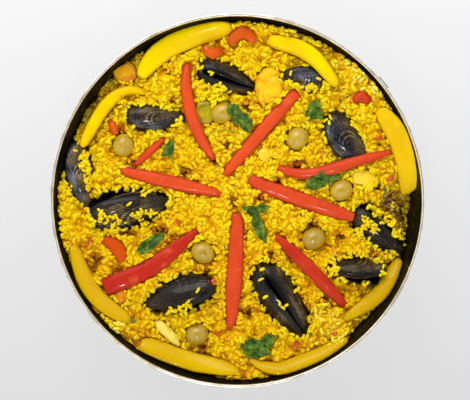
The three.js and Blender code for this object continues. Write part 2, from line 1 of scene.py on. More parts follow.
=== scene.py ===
"""The looks of a pan of seafood paella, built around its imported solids.

Lengths are written in millimetres and turned into Blender's metres with MM. The origin is the middle of
the pan's foot, +Z is up and +Y points away from the cook, as in the solids.
"""

import math

import bmesh
import bpy
import numpy as np
from mathutils import Matrix, Vector, noise
from mathutils.bvhtree import BVHTree


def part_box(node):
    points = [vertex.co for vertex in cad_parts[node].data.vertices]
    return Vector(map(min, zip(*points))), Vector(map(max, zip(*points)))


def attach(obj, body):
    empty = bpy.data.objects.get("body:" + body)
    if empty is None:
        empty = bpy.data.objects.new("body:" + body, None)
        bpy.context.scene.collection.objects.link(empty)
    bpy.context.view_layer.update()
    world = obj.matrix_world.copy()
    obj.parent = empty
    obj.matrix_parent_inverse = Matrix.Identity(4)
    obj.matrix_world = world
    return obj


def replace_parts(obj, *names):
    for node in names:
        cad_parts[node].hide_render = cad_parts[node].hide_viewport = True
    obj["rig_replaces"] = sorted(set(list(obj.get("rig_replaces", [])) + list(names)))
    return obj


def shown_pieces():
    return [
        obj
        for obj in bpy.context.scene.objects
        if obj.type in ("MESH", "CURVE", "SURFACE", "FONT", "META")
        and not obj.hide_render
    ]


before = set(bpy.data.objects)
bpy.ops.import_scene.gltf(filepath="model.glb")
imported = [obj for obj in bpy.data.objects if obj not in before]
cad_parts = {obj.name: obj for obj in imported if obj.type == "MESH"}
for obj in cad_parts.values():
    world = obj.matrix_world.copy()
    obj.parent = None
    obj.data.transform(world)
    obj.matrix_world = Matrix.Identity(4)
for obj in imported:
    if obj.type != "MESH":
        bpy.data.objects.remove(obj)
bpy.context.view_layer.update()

MM = 0.001
ROOT = "root"

# ---- Driving dimensions, shared with the solids ---------------------------------------------------

_, PAN_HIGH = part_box("pan")
RIM_RADIUS = PAN_HIGH.x
PAN_HEIGHT = PAN_HIGH.z
FLOOR = 4 * MM
BEAD = 1.5 * MM
WALL_LEAN = math.radians(10)
RICE_LEVEL = 45 * MM
RICE_BANK = 2.4 * MM
RICE_LUMP = 0.9 * MM
WALL_HEAP = 6.5 * MM  # how much higher the loose rice is spooned up against the wall
EDGE_BAND = 0.74

# Where the rice is heaped against the wall or has slid away: direction and spread in degrees, rise in mm.
EDGE_SWELLS = [
    (-9, 14, -17), (-42, 9, -7), (-90, 7, 3), (-106, 9, -6), (150, 16, -6), (116, 10, -4), (44, 7, 5),
]

SHELL_WIDTH = 0.5  # of a mussel's length, where it states none of its own
SHELL_DEPTH = 0.17
SWOLLEN_DEPTH = 0.22  # of those whose valves have spread and show only a narrow gap
SHELL_THICK = 1.6 * MM
HINGE_LEAN = math.radians(16)
WIDE_GAPE = 14  # degrees, from which a shell shows its meat and isn't swollen

# Middle in plan, length, turn, roll, dip, gape, rise over the rice, share of width.
MUSSELS = {
    "top": ((-9.5, 106.5), 53, 160, -104, 4, 12, -2.5, SHELL_WIDTH),
    "upper_left": ((-71, 73), 54, 178, -8, 5, 0, 0, 0.4),
    "left_wall": ((-136.5, 23.5), 59, 99, 24, 3, 0, -5, 0.42),
    "left": ((-93, -5), 75, 188, -34, 2, 28, -6, SHELL_WIDTH),
    "lower_left": ((-50, -83), 65, 14, -24, 2, 25, -3, SHELL_WIDTH),
    "lower_right": ((39, -87), 76, 124, -92, 2, 6, -6.5, SHELL_WIDTH),
    "upper_right": ((96, 52.5), 57, 127, 6, 4, 0, -1.5, SHELL_WIDTH),
    "top_right": ((57, 105), 37, -14, 24, 0, 0, -1.5, 0.58),
    "right": ((123, -25), 57, 139, -48, -4, 13, -4, SHELL_WIDTH),
    "lower_right_wall": ((103.3, -60.5), 52, -5, -54, -7, 22, -2, 0.6),
}

# How black each shell is, from worn to unworn.
SHELL_DARK = {
    "top": 0.3, "upper_left": 0.1, "left_wall": -0.4, "left": 0.4, "lower_left": 0.9, "lower_right": 0.9,
    "upper_right": 0.3, "top_right": 0.2, "right": 0.9, "lower_right_wall": 0.8,
}

# How far the brown side of a shell reaches over its slate side.
SHELL_BROWN = {"left_wall": 0.9, "upper_left": 0.2, "top": 0.2}

# Leaf blades: middle in plan, length and width, turn of the tip, lobes, how deep the lobes are cut.
LEAVES = {
    "leaf_upper": [
        ((-3, 77.5), (18, 13), 130, 5, 0.3),
        ((7, 67), (20, 13), -62, 5, 0.3),
        ((1, 70), (13, 9), 210, 3, 0.3),
    ],
    "leaf_upper_right": [((66, 79), (21, 13), 62, 5, 0.3), ((69, 74), (14, 10), -30, 3, 0.3)],
    "leaf_left": [((-59, 45), (18, 10), 70, 3, 0.25), ((-61, 41), (11, 8), 200, 3, 0.3)],
    "leaf_right": [
        ((67, 15), (20, 14), 200, 5, 0.3),
        ((82, 19), (20, 7), 22, 3, 0.2),
        ((73, 20), (12, 10), 100, 3, 0.3),
    ],
    "leaf_centre": [
        ((19.5, -25), (28, 11), -66, 5, 0.25),
        ((21, -7), (15, 9), 20, 5, 0.3),
        ((11, -8), (16, 8), 165, 3, 0.28),
        ((16, -14), (13, 6), -70, 3, 0.2),
    ],
    "leaf_lower_left": [((-75, -37), (30, 10.5), 36, 1, 0.06)],
    "leaf_bottom": [
        ((13, -127), (22, 19), 170, 5, 0.2),
        ((26, -122), (17, 13), 40, 5, 0.22),
        ((22, -130), (15, 10), -20, 3, 0.2),
    ],
}

# Thin strands lying on the food: the points in plan that each one runs through, and its thickness.
LEAF_STALKS = [
    ([(-26, 58), (-14, 61), (-3, 60), (6, 57)], 1.0),
    ([(-58, 38), (-54, 31), (-48, 27), (-40, 25)], 0.9),
    ([(70, 72), (60, 66), (53, 63)], 0.9),
    ([(11, -9), (4, -6), (0, -2)], 1.1),
    ([(86, 20), (94, 24), (99, 28)], 0.8),
]

PRAWN_WHISKERS = [
    ([(18, 96), (15, 90), (12, 84), (11, 78)], 0.5),
    ([(19, 97), (18, 91), (17, 85), (15, 81)], 0.45),
    ([(20, 99), (15, 97), (12, 92), (7, 88)], 0.4),
]

TENTACLE_TIPS = [
    ([(126, 3), (131, 0), (136, 3), (142, 1), (147, 5)], 3.4),
    ([(125, -3), (131, -7), (137, -5), (142, -8), (146, -3)], 3.6),
    ([(130, -9), (135, -13), (141, -12), (146, -15)], 3.2),
    ([(139, -9), (142, -16), (146, -20), (147, -29)], 2.6),
    ([(134, -13), (140, -18), (141, -25), (144, -33)], 2.4),
    ([(124, 0), (129, 6), (136, 8), (141, 5)], 3.0),
    ([(132, 2), (136, -3), (142, -4), (148, -1)], 3.0),
    ([(128, -6), (133, -2), (139, -1), (144, -5)], 2.8),
]

# ---- The rice's shape -----------------------------------------------------------------------------


def wall_radius(z):
    """Inner radius of the pan's wall at a height above its rounded corner."""
    top = PAN_HEIGHT - BEAD
    return RIM_RADIUS - 2 * BEAD - (top - z) * math.tan(WALL_LEAN)


def smoothstep(value, low, high):
    share = np.clip((value - low) / (high - low), 0, 1)
    return share * share * (3 - 2 * share)


def edge_swells(x, y):
    """The rise of each swell of the rice's edge, and its share, 0 to 1, at every place."""
    angle = np.degrees(np.arctan2(y, x))
    for at, spread_over, rise in EDGE_SWELLS:
        away = (angle - at + 540) % 360 - 180
        yield rise, np.exp(-((away / spread_over) ** 2))


def core_height(x, y):
    """Height of the rice before its clumps, as in the solids."""
    x, y = np.asarray(x, float), np.asarray(y, float)
    share = np.hypot(x, y) / wall_radius(RICE_LEVEL)
    swell = sum(rise * MM * near for rise, near in edge_swells(x, y))
    across, up = x / MM, y / MM
    lumps = np.sin(across / 14 + 1.3) * np.cos(up / 11 - 0.4) + 0.6 * np.sin((across + 1.7 * up) / 9)
    bank = RICE_BANK * smoothstep(share, 0.88, 1)
    return RICE_LEVEL + bank + smoothstep(share, EDGE_BAND, 1) * swell + RICE_LUMP * lumps


def heap_height(x, y):
    """Rise of the loose rice near the wall over the core, none where the rice has slid away."""
    share = np.hypot(x, y) / wall_radius(RICE_LEVEL)
    slid = sum(-rise / 4 * near for rise, near in edge_swells(x, y) if rise < 0)
    return WALL_HEAP * smoothstep(share, 0.93, 1.0) * np.clip(1 - slid, 0, 1)


def kept_off_wall(points, gap):
    """Draws in the points that would come closer to the pan's wall than gap."""
    reach = np.hypot(points[:, 0], points[:, 1])
    limit = wall_radius(points[:, 2]) - gap
    share = np.minimum(1, limit / np.maximum(reach, 1e-9))
    points[:, :2] *= share[:, None]
    return points


def polar(points):
    """How far each point is from the pan's axis, and in which direction."""
    return np.hypot(points[:, 0], points[:, 1]), np.arctan2(points[:, 1], points[:, 0])


def set_polar(points, reach, turn):
    points[:, 0], points[:, 1] = reach * np.cos(turn), reach * np.sin(turn)


def seen_from(spot, x, y):
    """Distance of places from a spot, in its radii, and their direction. A spot is x, y and radius in mm."""
    dx, dy = x - spot[0] * MM, y - spot[1] * MM
    return np.hypot(dx, dy) / (spot[2] * MM), np.arctan2(dy, dx)


# ---- Working on a mesh ----------------------------------------------------------------------------


def choose(piece):
    """Selects a piece alone."""
    bpy.ops.object.select_all(action="DESELECT")
    piece.select_set(True)
    bpy.context.view_layer.objects.active = piece


def added(name, data):
    """A new object with that data, in the scene."""
    piece = bpy.data.objects.new(name, data)
    bpy.context.scene.collection.objects.link(piece)
    return piece


def named(name):
    """The active piece, under a name."""
    piece = bpy.context.active_object
    piece.name = piece.data.name = name
    return piece


def primitive(kind, name, **settings):
    """A new primitive under its own name."""
    getattr(bpy.ops.mesh, f"primitive_{kind}_add")(**settings)
    return named(name)


def edit(piece, kind="FACE"):
    choose(piece)
    bpy.ops.object.mode_set(mode="EDIT")
    bpy.ops.mesh.select_mode(type=kind)


def done_editing():
    bpy.ops.object.mode_set(mode="OBJECT")


def pick(piece, kind, test):
    """In edit mode, selects the verts, edges or faces that pass the test."""
    shape = bmesh.from_edit_mesh(piece.data)
    elements = getattr(shape, kind)
    for element in elements:
        element.select_set(False)
    for element in elements:
        if test(element):
            element.select_set(True)
    bmesh.update_edit_mesh(piece.data)


def inset_and_step(inset, step):
    """Insets the selected faces, then extrudes them by a step in x, y and z."""
    bpy.ops.mesh.inset(thickness=inset)
    bpy.ops.mesh.extrude_region_move(TRANSFORM_OT_translate={"value": step})


def apply_place(piece):
    choose(piece)
    bpy.ops.object.transform_apply(location=True, rotation=True, scale=True)


def modify(piece, kind, **settings):
    """Adds a modifier and applies it."""
    choose(piece)
    modifier = piece.modifiers.new(kind.lower(), kind)
    for key, value in settings.items():
        setattr(modifier, key, value)
    bpy.ops.object.modifier_apply(modifier=modifier.name)


def subdivide(piece, levels):
    modify(piece, "SUBSURF", levels=levels, render_levels=levels)


def roughen(piece, size, height):
    """Pushes a surface in and out by a cloudy unevenness of that size."""
    unevenness = bpy.data.textures.new(piece.name + "_clouds", "CLOUDS")
    unevenness.noise_scale = size
    modify(piece, "DISPLACE", texture=unevenness, texture_coords="LOCAL", strength=height, mid_level=0.5)


def face_outwards(piece):
    edit(piece)
    bpy.ops.mesh.select_all(action="SELECT")
    bpy.ops.mesh.normals_make_consistent(inside=False)
    done_editing()


def smooth(piece, degrees):
    choose(piece)
    bpy.ops.object.shade_smooth_by_angle(angle=math.radians(degrees))


def points_of(piece):
    points = np.empty(len(piece.data.vertices) * 3)
    piece.data.vertices.foreach_get("co", points)
    return points.reshape(-1, 3)


def set_points(piece, points):
    piece.data.vertices.foreach_set("co", np.asarray(points, float).ravel())
    piece.data.update()


def keep_off_wall(piece, gap):
    set_points(piece, kept_off_wall(points_of(piece), gap))


def in_order(piece):
    """Puts a bevelled piece's points and faces in a set order, which bevelling leaves to chance."""
    points = points_of(piece)
    order = np.lexsort(np.round(points, 6).T)
    rank = np.argsort(order)
    faces = []
    for face in piece.data.polygons:
        ring = [int(rank[corner]) for corner in face.vertices]
        first = ring.index(min(ring))
        faces.append(ring[first:] + ring[:first])
    piece.data.clear_geometry()
    piece.data.from_pydata(points[order].tolist(), [], sorted(faces))
    piece.data.update()


def keep_value(piece, name, values):
    """Stores a number for each point, or one number for all of them, for the materials."""
    attribute = piece.data.attributes.new(name, "FLOAT", "POINT")
    values = np.broadcast_to(np.asarray(values, np.float32), len(piece.data.vertices))
    attribute.data.foreach_set("value", np.ascontiguousarray(values))


def joined(pieces, name):
    """The pieces as one, under a name."""
    choose(pieces[0])
    for piece in pieces:
        piece.select_set(True)
    if len(pieces) > 1:
        bpy.ops.object.join()
    return named(name)


def dressed(piece, finish, slot, *nodes):
    """Gives a finished piece its material and its place in the frame."""
    if not piece.data.materials:
        piece.data.materials.append(finish)
    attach(piece, ROOT)
    if nodes:
        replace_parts(piece, *nodes)
    return piece


def copy_of(node, name):
    """A merged copy of a solid, with its flat faces joined into quads."""
    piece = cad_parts[node].copy()
    piece.data = piece.data.copy()
    for key in list(piece.keys()):
        del piece[key]
    piece.parent = None
    piece.name = piece.data.name = name
    piece.data.materials.clear()
    bpy.context.scene.collection.objects.link(piece)
    edit(piece)
    bpy.ops.mesh.select_all(action="SELECT")
    bpy.ops.mesh.remove_doubles(threshold=0.01 * MM)
    bpy.ops.mesh.tris_convert_to_quads(face_threshold=math.radians(38), shape_threshold=math.radians(60))
    done_editing()
    return piece


# Pieces that lie a little larger on the rice: stretch along and across, then shift in mm.
REDRAWN = {
    "red_bit_lower_left": (1.1, 1.55, (-2.2, 2.2, -0.3)),
    "red_bit_left": (1.25, 1.1, (-1.5, -3.5, 0.4)),
    "red_bit_top": (1.0, 1.3, (-1.5, 4, 2)),
    "red_bit_top_left": (1.1, 1.4, (0, 3.5, 0.5)),
    "green_pepper_upper": (1.05, 1.5, (3, -1.5, 0.5)),
    "seafood_right": (1.1, 1.25, (-3, -1, 0.8)),
    "squid_strip": (1.3, 1.2, (0, 0, 0)),
}


def redraw(piece, node):
    """Draws a piece out along its length and across it, in plan, and shifts it."""
    if node not in REDRAWN:
        return
    along, across, shift = REDRAWN[node]
    points = points_of(piece)
    middle = points.mean(0)
    turned = np.linalg.svd((points - middle)[:, :2], full_matrices=False)[2]
    plan = (points - middle)[:, :2] @ turned.T * (along, across)
    points[:, :2] = plan @ turned + middle[:2]
    set_points(piece, kept_off_wall(points + np.array(shift) * MM, 0.5 * MM))


def fill_box(piece, node):
    """Brings a piece that smoothing has shrunk back to its solid's size."""
    low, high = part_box(node)
    points = points_of(piece)
    small, large = points.min(0), points.max(0)
    share = (points - small) / (large - small)
    set_points(piece, np.array(low) + share * (np.array(high) - np.array(low)))


# ---- Materials ------------------------------------------------------------------------------------


def srgb(red, green, blue):
    """A colour as it looks on a screen, 0 to 255, as Blender's linear colour."""
    def linear(value):
        share = value / 255
        return share / 12.92 if share <= 0.04045 else ((share + 0.055) / 1.055) ** 2.4
    return (linear(red), linear(green), linear(blue), 1)


def new_finish(name, **constants):
    finish = bpy.data.materials.new(name)
    finish.use_nodes = True
    shader = finish.node_tree.nodes["Principled BSDF"]
    for socket, value in constants.items():
        shader.inputs[socket.replace("_", " ")].default_value = value
    return finish


def add_node(finish, kind, inputs=(), **settings):
    """Adds a node. inputs pairs a socket's name or number with a value or with another node's output."""
    node = finish.node_tree.nodes.new(kind)
    for key, value in settings.items():
        setattr(node, key, value)
    for socket, value in dict(inputs).items():
        if isinstance(value, bpy.types.NodeSocket):
            finish.node_tree.links.new(value, node.inputs[socket])
        else:
            node.inputs[socket].default_value = value
    return node


def wire(finish, socket, output):
    """Wires an output into the finish's shader."""
    shader = finish.node_tree.nodes["Principled BSDF"]
    finish.node_tree.links.new(output, shader.inputs[socket])


def place(finish, stretch=(1, 1, 1), turn=0.0):
    """Object coordinates, stretched and turned."""
    coordinates = add_node(finish, "ShaderNodeTexCoord").outputs["Object"]
    inputs = {"Vector": coordinates, "Scale": stretch, "Rotation": (0, 0, turn)}
    return add_node(finish, "ShaderNodeMapping", inputs).outputs["Vector"]


def along(finish, axis):
    """The object coordinate along one axis."""
    return add_node(finish, "ShaderNodeSeparateXYZ", {0: place(finish)}).outputs[axis]


def clouds(finish, size, detail=3.0, vector=None, distortion=0.0):
    """A cloudy pattern, 0 to 1, whose patches have that size in metres."""
    vector = vector or place(finish)
    inputs = {"Vector": vector, "Scale": 1 / size, "Detail": detail, "Distortion": distortion}
    return add_node(finish, "ShaderNodeTexNoise", inputs).outputs["Fac"]


def value_of(finish, name):
    return add_node(finish, "ShaderNodeAttribute", attribute_name=name).outputs["Fac"]


def shades(finish, factor, *stops):
    """Colours along a factor. Each stop is a place, 0 to 1, and a colour."""
    ramp = add_node(finish, "ShaderNodeValToRGB", {"Fac": factor})
    elements = ramp.color_ramp.elements
    while len(elements) < len(stops):
        elements.new(0.5)
    for element, (position, colour) in zip(elements, stops):
        element.position = position
        element.color = srgb(*colour)
    return ramp.outputs["Color"]


def spread(finish, value, low, high, to_low=0.0, to_high=1.0):
    """Spreads a value between two limits over a range."""
    inputs = {"Value": value, "From Min": low, "From Max": high, "To Min": to_low, "To Max": to_high}
    return add_node(finish, "ShaderNodeMapRange", inputs).outputs["Result"]


def mixed(finish, factor, first, second):
    node = add_node(finish, "ShaderNodeMix", data_type="RGBA")
    for socket, value in ((0, factor), (6, first), (7, second)):
        if isinstance(value, bpy.types.NodeSocket):
            finish.node_tree.links.new(value, node.inputs[socket])
        else:
            node.inputs[socket].default_value = srgb(*value) if isinstance(value, tuple) else value
    return node.outputs[2]


def combined(finish, operation, first, second):
    return add_node(finish, "ShaderNodeMath", {0: first, 1: second}, operation=operation).outputs[0]


def weighted(finish, *pairs):
    """The sum of some values, each times its weight."""
    total, *others = (combined(finish, "MULTIPLY", value, weight) for value, weight in pairs)
    for other in others:
        total = combined(finish, "ADD", total, other)
    return total


def patches(finish, size, detail, low, high, to_low=0.0, to_high=1.0):
    """A cloudy pattern, spread between two of its values over a range."""
    return spread(finish, clouds(finish, size, detail), low, high, to_low, to_high)


def finished(finish, colour, height, strength, distance, roughness=None):
    """Wires colour, bump and roughness into the finish's shader."""
    wire(finish, "Base Color", colour)
    if roughness:
        wire(finish, "Roughness", roughness)
    inputs = {"Height": height, "Strength": strength, "Distance": distance}
    wire(finish, "Normal", add_node(finish, "ShaderNodeBump", inputs).outputs["Normal"])
    return finish


FILM_TOP, FILM_FULL = 56 * MM, 46 * MM  # where the oil on the pan's wall ends, and where it is thickest


def nonstick_finish():
    """Near-black coating with a faint fleck, and a film of saffron oil low on the wall."""
    finish = new_finish("nonstick_coating", Roughness=0.4, Specular_IOR_Level=0.08)
    fleck = shades(finish, clouds(finish, 0.9 * MM, 2), (0.35, (9, 9, 7)), (0.75, (20, 20, 16)))
    low = spread(finish, along(finish, "Z"), FILM_TOP, FILM_FULL)
    film = combined(finish, "MULTIPLY", low, patches(finish, 9 * MM, 4, 0.42, 0.62))
    colour = mixed(finish, film, fleck, (42, 34, 9))
    return finished(finish, colour, clouds(finish, 1.4 * MM, 2), 0.12, 0.2 * MM)


def enamel_finish():
    """Dark satin outside of the pan, with the slight orange peel of sprayed enamel."""
    finish = new_finish("charcoal_enamel", Coat_Weight=0.25, Coat_Roughness=0.2)
    grime = clouds(finish, 24 * MM, 5)
    colour = shades(finish, grime, (0.3, (34, 34, 33)), (0.7, (48, 47, 45)))
    roughness = spread(finish, grime, 0.3, 0.7, 0.36, 0.5)
    return finished(finish, colour, clouds(finish, 1.1 * MM, 2), 0.16, 0.15 * MM, roughness)


def rim_finish():
    """Turned aluminium, with fine scratches and duller, stained patches."""
    finish = new_finish("turned_rim", Metallic=1.0, Anisotropic=0.3)
    scratches = clouds(finish, 1.2 * MM, 4, place(finish, (1, 1, 9)))
    colour = mixed(finish, patches(finish, 16 * MM, 4, 0.45, 0.7), (250, 246, 234), (206, 194, 164))
    roughness = spread(finish, scratches, 0.3, 0.7, 0.26, 0.44)
    return finished(finish, colour, scratches, 0.2, 0.08 * MM, roughness)


NEAR_SHADE_FROM, NEAR_SHADE_TO = 30 * MM, -110 * MM  # painted shade: the rice turns darker and browner between these, towards the near side


def rice_finish(name, pale, middle, deep, near_shading=0.2):
    """Cooked grains stained with saffron, each one its own shade, some regions deeper than others, and
    painted shade that browns them towards the near side.
    """
    finish = new_finish(
        name, Roughness=0.5, Specular_IOR_Level=0.1,
        Subsurface_Weight=0.5, Subsurface_Scale=2.5 * MM, Subsurface_Radius=(0.8, 0.6, 0.1))
    # The darkest stop is reached only in crevices and pits: painted shade.
    stops = (0, (168, 92, 6)), (0.14, deep), (0.45, middle), (1, pale)
    colour = shades(finish, value_of(finish, "tone"), *stops)
    colour = mixed(finish, patches(finish, 3.2 * MM, 3, 0.5, 0.72, 0, 0.35), colour, deep)
    colour = mixed(finish, patches(finish, 38 * MM, 3, 0.5, 0.7, 0, 0.25), colour, deep)
    # Painted shade: browner towards the near side.
    near_shade = spread(finish, along(finish, "Y"), NEAR_SHADE_FROM, NEAR_SHADE_TO, 0, near_shading)
    colour = mixed(finish, near_shade, colour, (192, 146, 0))
    return finished(finish, colour, clouds(finish, 1.3 * MM, 2), 0.25, 0.2 * MM)


def core_finish():
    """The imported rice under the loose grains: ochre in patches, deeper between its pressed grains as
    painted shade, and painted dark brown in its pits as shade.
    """
    finish = new_finish("packed_rice", Roughness=0.5, Specular_IOR_Level=0.15)
    inputs = {"Vector": place(finish), "Scale": 1 / (3.4 * MM)}
    grains = add_node(finish, "ShaderNodeTexVoronoi", inputs).outputs["Distance"]
    # Paler in the middle of each pressed grain and deeper towards its edge: painted shade between the grains.
    colour = shades(finish, grains, (0.1, (250, 212, 0)), (0.5, (244, 200, 0)), (0.8, (226, 172, 2)))
    colour = mixed(finish, patches(finish, 14 * MM, 4, 0.46, 0.66), colour, (226, 160, 0))
    # Painted shade: the pits are coloured dark brown.
    colour = mixed(finish, value_of(finish, "pit"), colour, (100, 52, 6))
    return finished(finish, colour, grains, -0.9, 0.9 * MM)


def pepper_finish(name, skin, deep, flesh, painted_sheen, gloss=0.12):
    """Pepper skin: smooth, glossy and unevenly coloured, with a painted sheen in patches, painted shade where
    it turns away from the top, and paler flesh along the cut sides.
    """
    finish = new_finish(
        name, Specular_IOR_Level=0.04, Coat_Weight=gloss, Coat_Roughness=0.05,
        Subsurface_Weight=0.12, Subsurface_Scale=1.2 * MM, Subsurface_Radius=(2, 0.7, 0.2))
    ripe, upward = value_of(finish, "ripe"), value_of(finish, "upward")
    ripe = combined(finish, "ADD", patches(finish, 26 * MM, 3, 0.3, 0.8, -0.2, 0.3), ripe)
    # Deeper in riper patches, and as painted shade on the strips at the near side.
    colour = mixed(finish, ripe, skin, deep)
    # A painted sheen: paler patches on the skin.
    colour = mixed(finish, patches(finish, 9 * MM, 4, 0.56, 0.8, 0, 0.55), colour, painted_sheen)
    # Painted shade where the skin turns away from the top.
    colour = mixed(finish, spread(finish, upward, 0.985, 0.7, 0, 0.55), colour, deep)
    colour = mixed(finish, spread(finish, upward, 0.5, 0.05), colour, flesh)
    roughness = patches(finish, 5 * MM, 3, 0.3, 0.7, 0.18, 0.34)
    return finished(finish, colour, clouds(finish, 4 * MM, 3), 0.35, 0.6 * MM, roughness)


def olive_finish():
    """Green olive: khaki skin, mottled and a little translucent, with a wet shine."""
    finish = new_finish(
        "olive_skin", Roughness=0.3, Coat_Weight=0.5, Coat_Roughness=0.1,
        Subsurface_Weight=0.2, Subsurface_Scale=2 * MM, Subsurface_Radius=(1.6, 1.2, 0.4))
    stops = (0.3, (186, 150, 24)), (0.5, (204, 168, 34)), (0.72, (216, 184, 50))
    colour = shades(finish, clouds(finish, 6 * MM, 4), *stops)
    # Painted shade: the near olives are darker.
    colour = mixed(finish, value_of(finish, "ripe"), colour, (150, 120, 30))
    freckles = patches(finish, 1.1 * MM, 2, 0.66, 0.74, 0, 0.45)
    colour = mixed(finish, freckles, colour, (132, 108, 40))
    return finished(finish, colour, clouds(finish, 2.2 * MM, 3), 0.1, 0.3 * MM)


# A shell's shades from unworn to worn: their places, and the colours of its slate and its brown side.
WORN_STOPS = (0.48, 0.55, 0.62, 0.7)
SLATE_SIDE = ((7, 7, 9), (26, 27, 32), (84, 88, 98), (150, 152, 162))
BROWN_SIDE = ((10, 7, 4), (40, 28, 14), (104, 84, 52), (166, 146, 108))


def shell_finish():
    """Mussel shell: black, with slate and brown bands and streaks, worn, wet and shining."""
    finish = new_finish("mussel_shell", Specular_IOR_Level=0.15, Coat_Weight=0.3, Coat_Roughness=0.1)
    growth, fan = value_of(finish, "growth"), value_of(finish, "fan")

    def bands(scale, detail):
        inputs = {"W": growth, "Scale": scale, "Detail": detail}
        return add_node(finish, "ShaderNodeTexNoise", inputs, noise_dimensions="1D").outputs["Fac"]

    flat = add_node(finish, "ShaderNodeCombineXYZ", {"X": growth, "Y": fan}).outputs[0]
    drawn = add_node(finish, "ShaderNodeMapping", {"Vector": flat, "Scale": (2.6, 17, 1)}).outputs[0]
    streaks = clouds(finish, 1.0, 5, drawn)
    broad, dark = clouds(finish, 15 * MM, 3), value_of(finish, "dark")
    worn = weighted(finish, (streaks, 0.45), (bands(24, 5), 0.3), (broad, 0.4), (dark, -0.07))
    slate, brown = (shades(finish, worn, *zip(WORN_STOPS, side)) for side in (SLATE_SIDE, BROWN_SIDE))
    uneven = patches(finish, 10 * MM, 5, 0, 1, -0.9, 0.9)
    wander = weighted(finish, (fan, 1), (uneven, 1), (value_of(finish, "brown"), -1))
    colour = mixed(finish, spread(finish, wander, -0.1, 0.25), brown, slate)
    colour = mixed(finish, patches(finish, 1.5 * MM, 2, 0.64, 0.7, 0, 0.7), colour, (132, 108, 62))
    colour = mixed(finish, spread(finish, growth, 0.91, 0.97), colour, (8, 7, 7))
    lining = mixed(finish, patches(finish, 7 * MM, 3, 0.4, 0.7), (26, 20, 20), (92, 70, 72))
    colour = mixed(finish, value_of(finish, "lining"), colour, lining)
    relief = weighted(finish, (streaks, 1), (clouds(finish, 1.7 * MM, 3), 1), (bands(90, 2), 1))
    return finished(finish, colour, relief, 0.6, 0.5 * MM, spread(finish, streaks, 0.3, 0.7, 0.22, 0.4))


def flesh_finish(name, pale, stained, browned, roughness=0.3):
    """Seafood stained yellow by the rice, browned where it touched the pan."""
    finish = new_finish(
        name, Roughness=roughness, Specular_IOR_Level=0.25, Coat_Weight=0.15, Coat_Roughness=0.12,
        Subsurface_Weight=0.15, Subsurface_Scale=2 * MM, Subsurface_Radius=(2, 1.2, 0.4))
    colour = mixed(finish, patches(finish, 8 * MM, 4, 0.36, 0.62), pale, stained)
    edge = spread(finish, clouds(finish, 13 * MM, 5, distortion=0.6), 0.54, 0.68, 0, 0.85)
    fibres = clouds(finish, 2.4 * MM, 4, place(finish, (1, 0.35, 1), 0.6))
    return finished(finish, mixed(finish, edge, colour, browned), fibres, 0.3, 0.5 * MM)


def prawn_finish():
    """Peeled prawn: pale yellow flesh, orange bands across its back and along its edge."""
    finish = new_finish(
        "prawn_flesh", Roughness=0.32, Specular_IOR_Level=0.15, Coat_Weight=0.12, Coat_Roughness=0.1,
        Subsurface_Weight=0.2, Subsurface_Scale=2 * MM, Subsurface_Radius=(2, 1.2, 0.4))
    flesh = mixed(finish, patches(finish, 7 * MM, 4, 0.4, 0.64), (244, 196, 4), (248, 212, 26))
    flank = combined(finish, "MULTIPLY", value_of(finish, "flank"), patches(finish, 6 * MM, 3, 0.3, 0.6))
    colour = mixed(finish, flank, flesh, (238, 156, 10))
    return finished(finish, colour, clouds(finish, 3 * MM, 4), 0.25, 0.5 * MM)


def leaf_finish():
    """Wilted coriander: deep green, paler along the veins, with a cool sheen."""
    finish = new_finish(
        "coriander_leaf", Roughness=0.5, Specular_IOR_Level=0.2, Coat_Weight=0.14, Coat_Roughness=0.15)
    vein = value_of(finish, "vein")
    greens = (0.38, (34, 74, 10)), (0.54, (74, 112, 14)), (0.7, (128, 152, 40))
    blade = shades(finish, clouds(finish, 5 * MM, 4), *greens)
    colour = mixed(finish, combined(finish, "MULTIPLY", vein, 0.32), blade, (168, 178, 84))
    height = weighted(finish, (vein, -0.6), (clouds(finish, 2.2 * MM, 3), 1))
    return finished(finish, colour, height, 0.5, 0.5 * MM)


def plain_mottled(name, dark, light, size, roughness=0.4, bump=0.3):
    """Two shades mottled together, for small bits and strands."""
    finish = new_finish(name, Roughness=roughness, Coat_Weight=0.2, Coat_Roughness=0.2)
    colour = mixed(finish, patches(finish, size, 3, 0.38, 0.64), dark, light)
    return finished(finish, colour, clouds(finish, size / 2, 3), bump, 0.4 * MM)


# ---- The pan --------------------------------------------------------------------------------------

OUTER_FOOT = 149.6 * MM  # outer radius of the wall, carried down to the foot
OUTER_TOP = 158.4 * MM
RIM_MIDDLE = PAN_HEIGHT - BEAD
CORNER_RADIUS = 13 * MM  # between the floor and the wall, inside
FOOT_RADIUS = 15 * MM
FOOT_RINGS = ((9, 0.5), (2, -0.5), (16, 0.5), (2, -0.5), (38, 0.5), (2, -0.5))  # inset and step, in mm


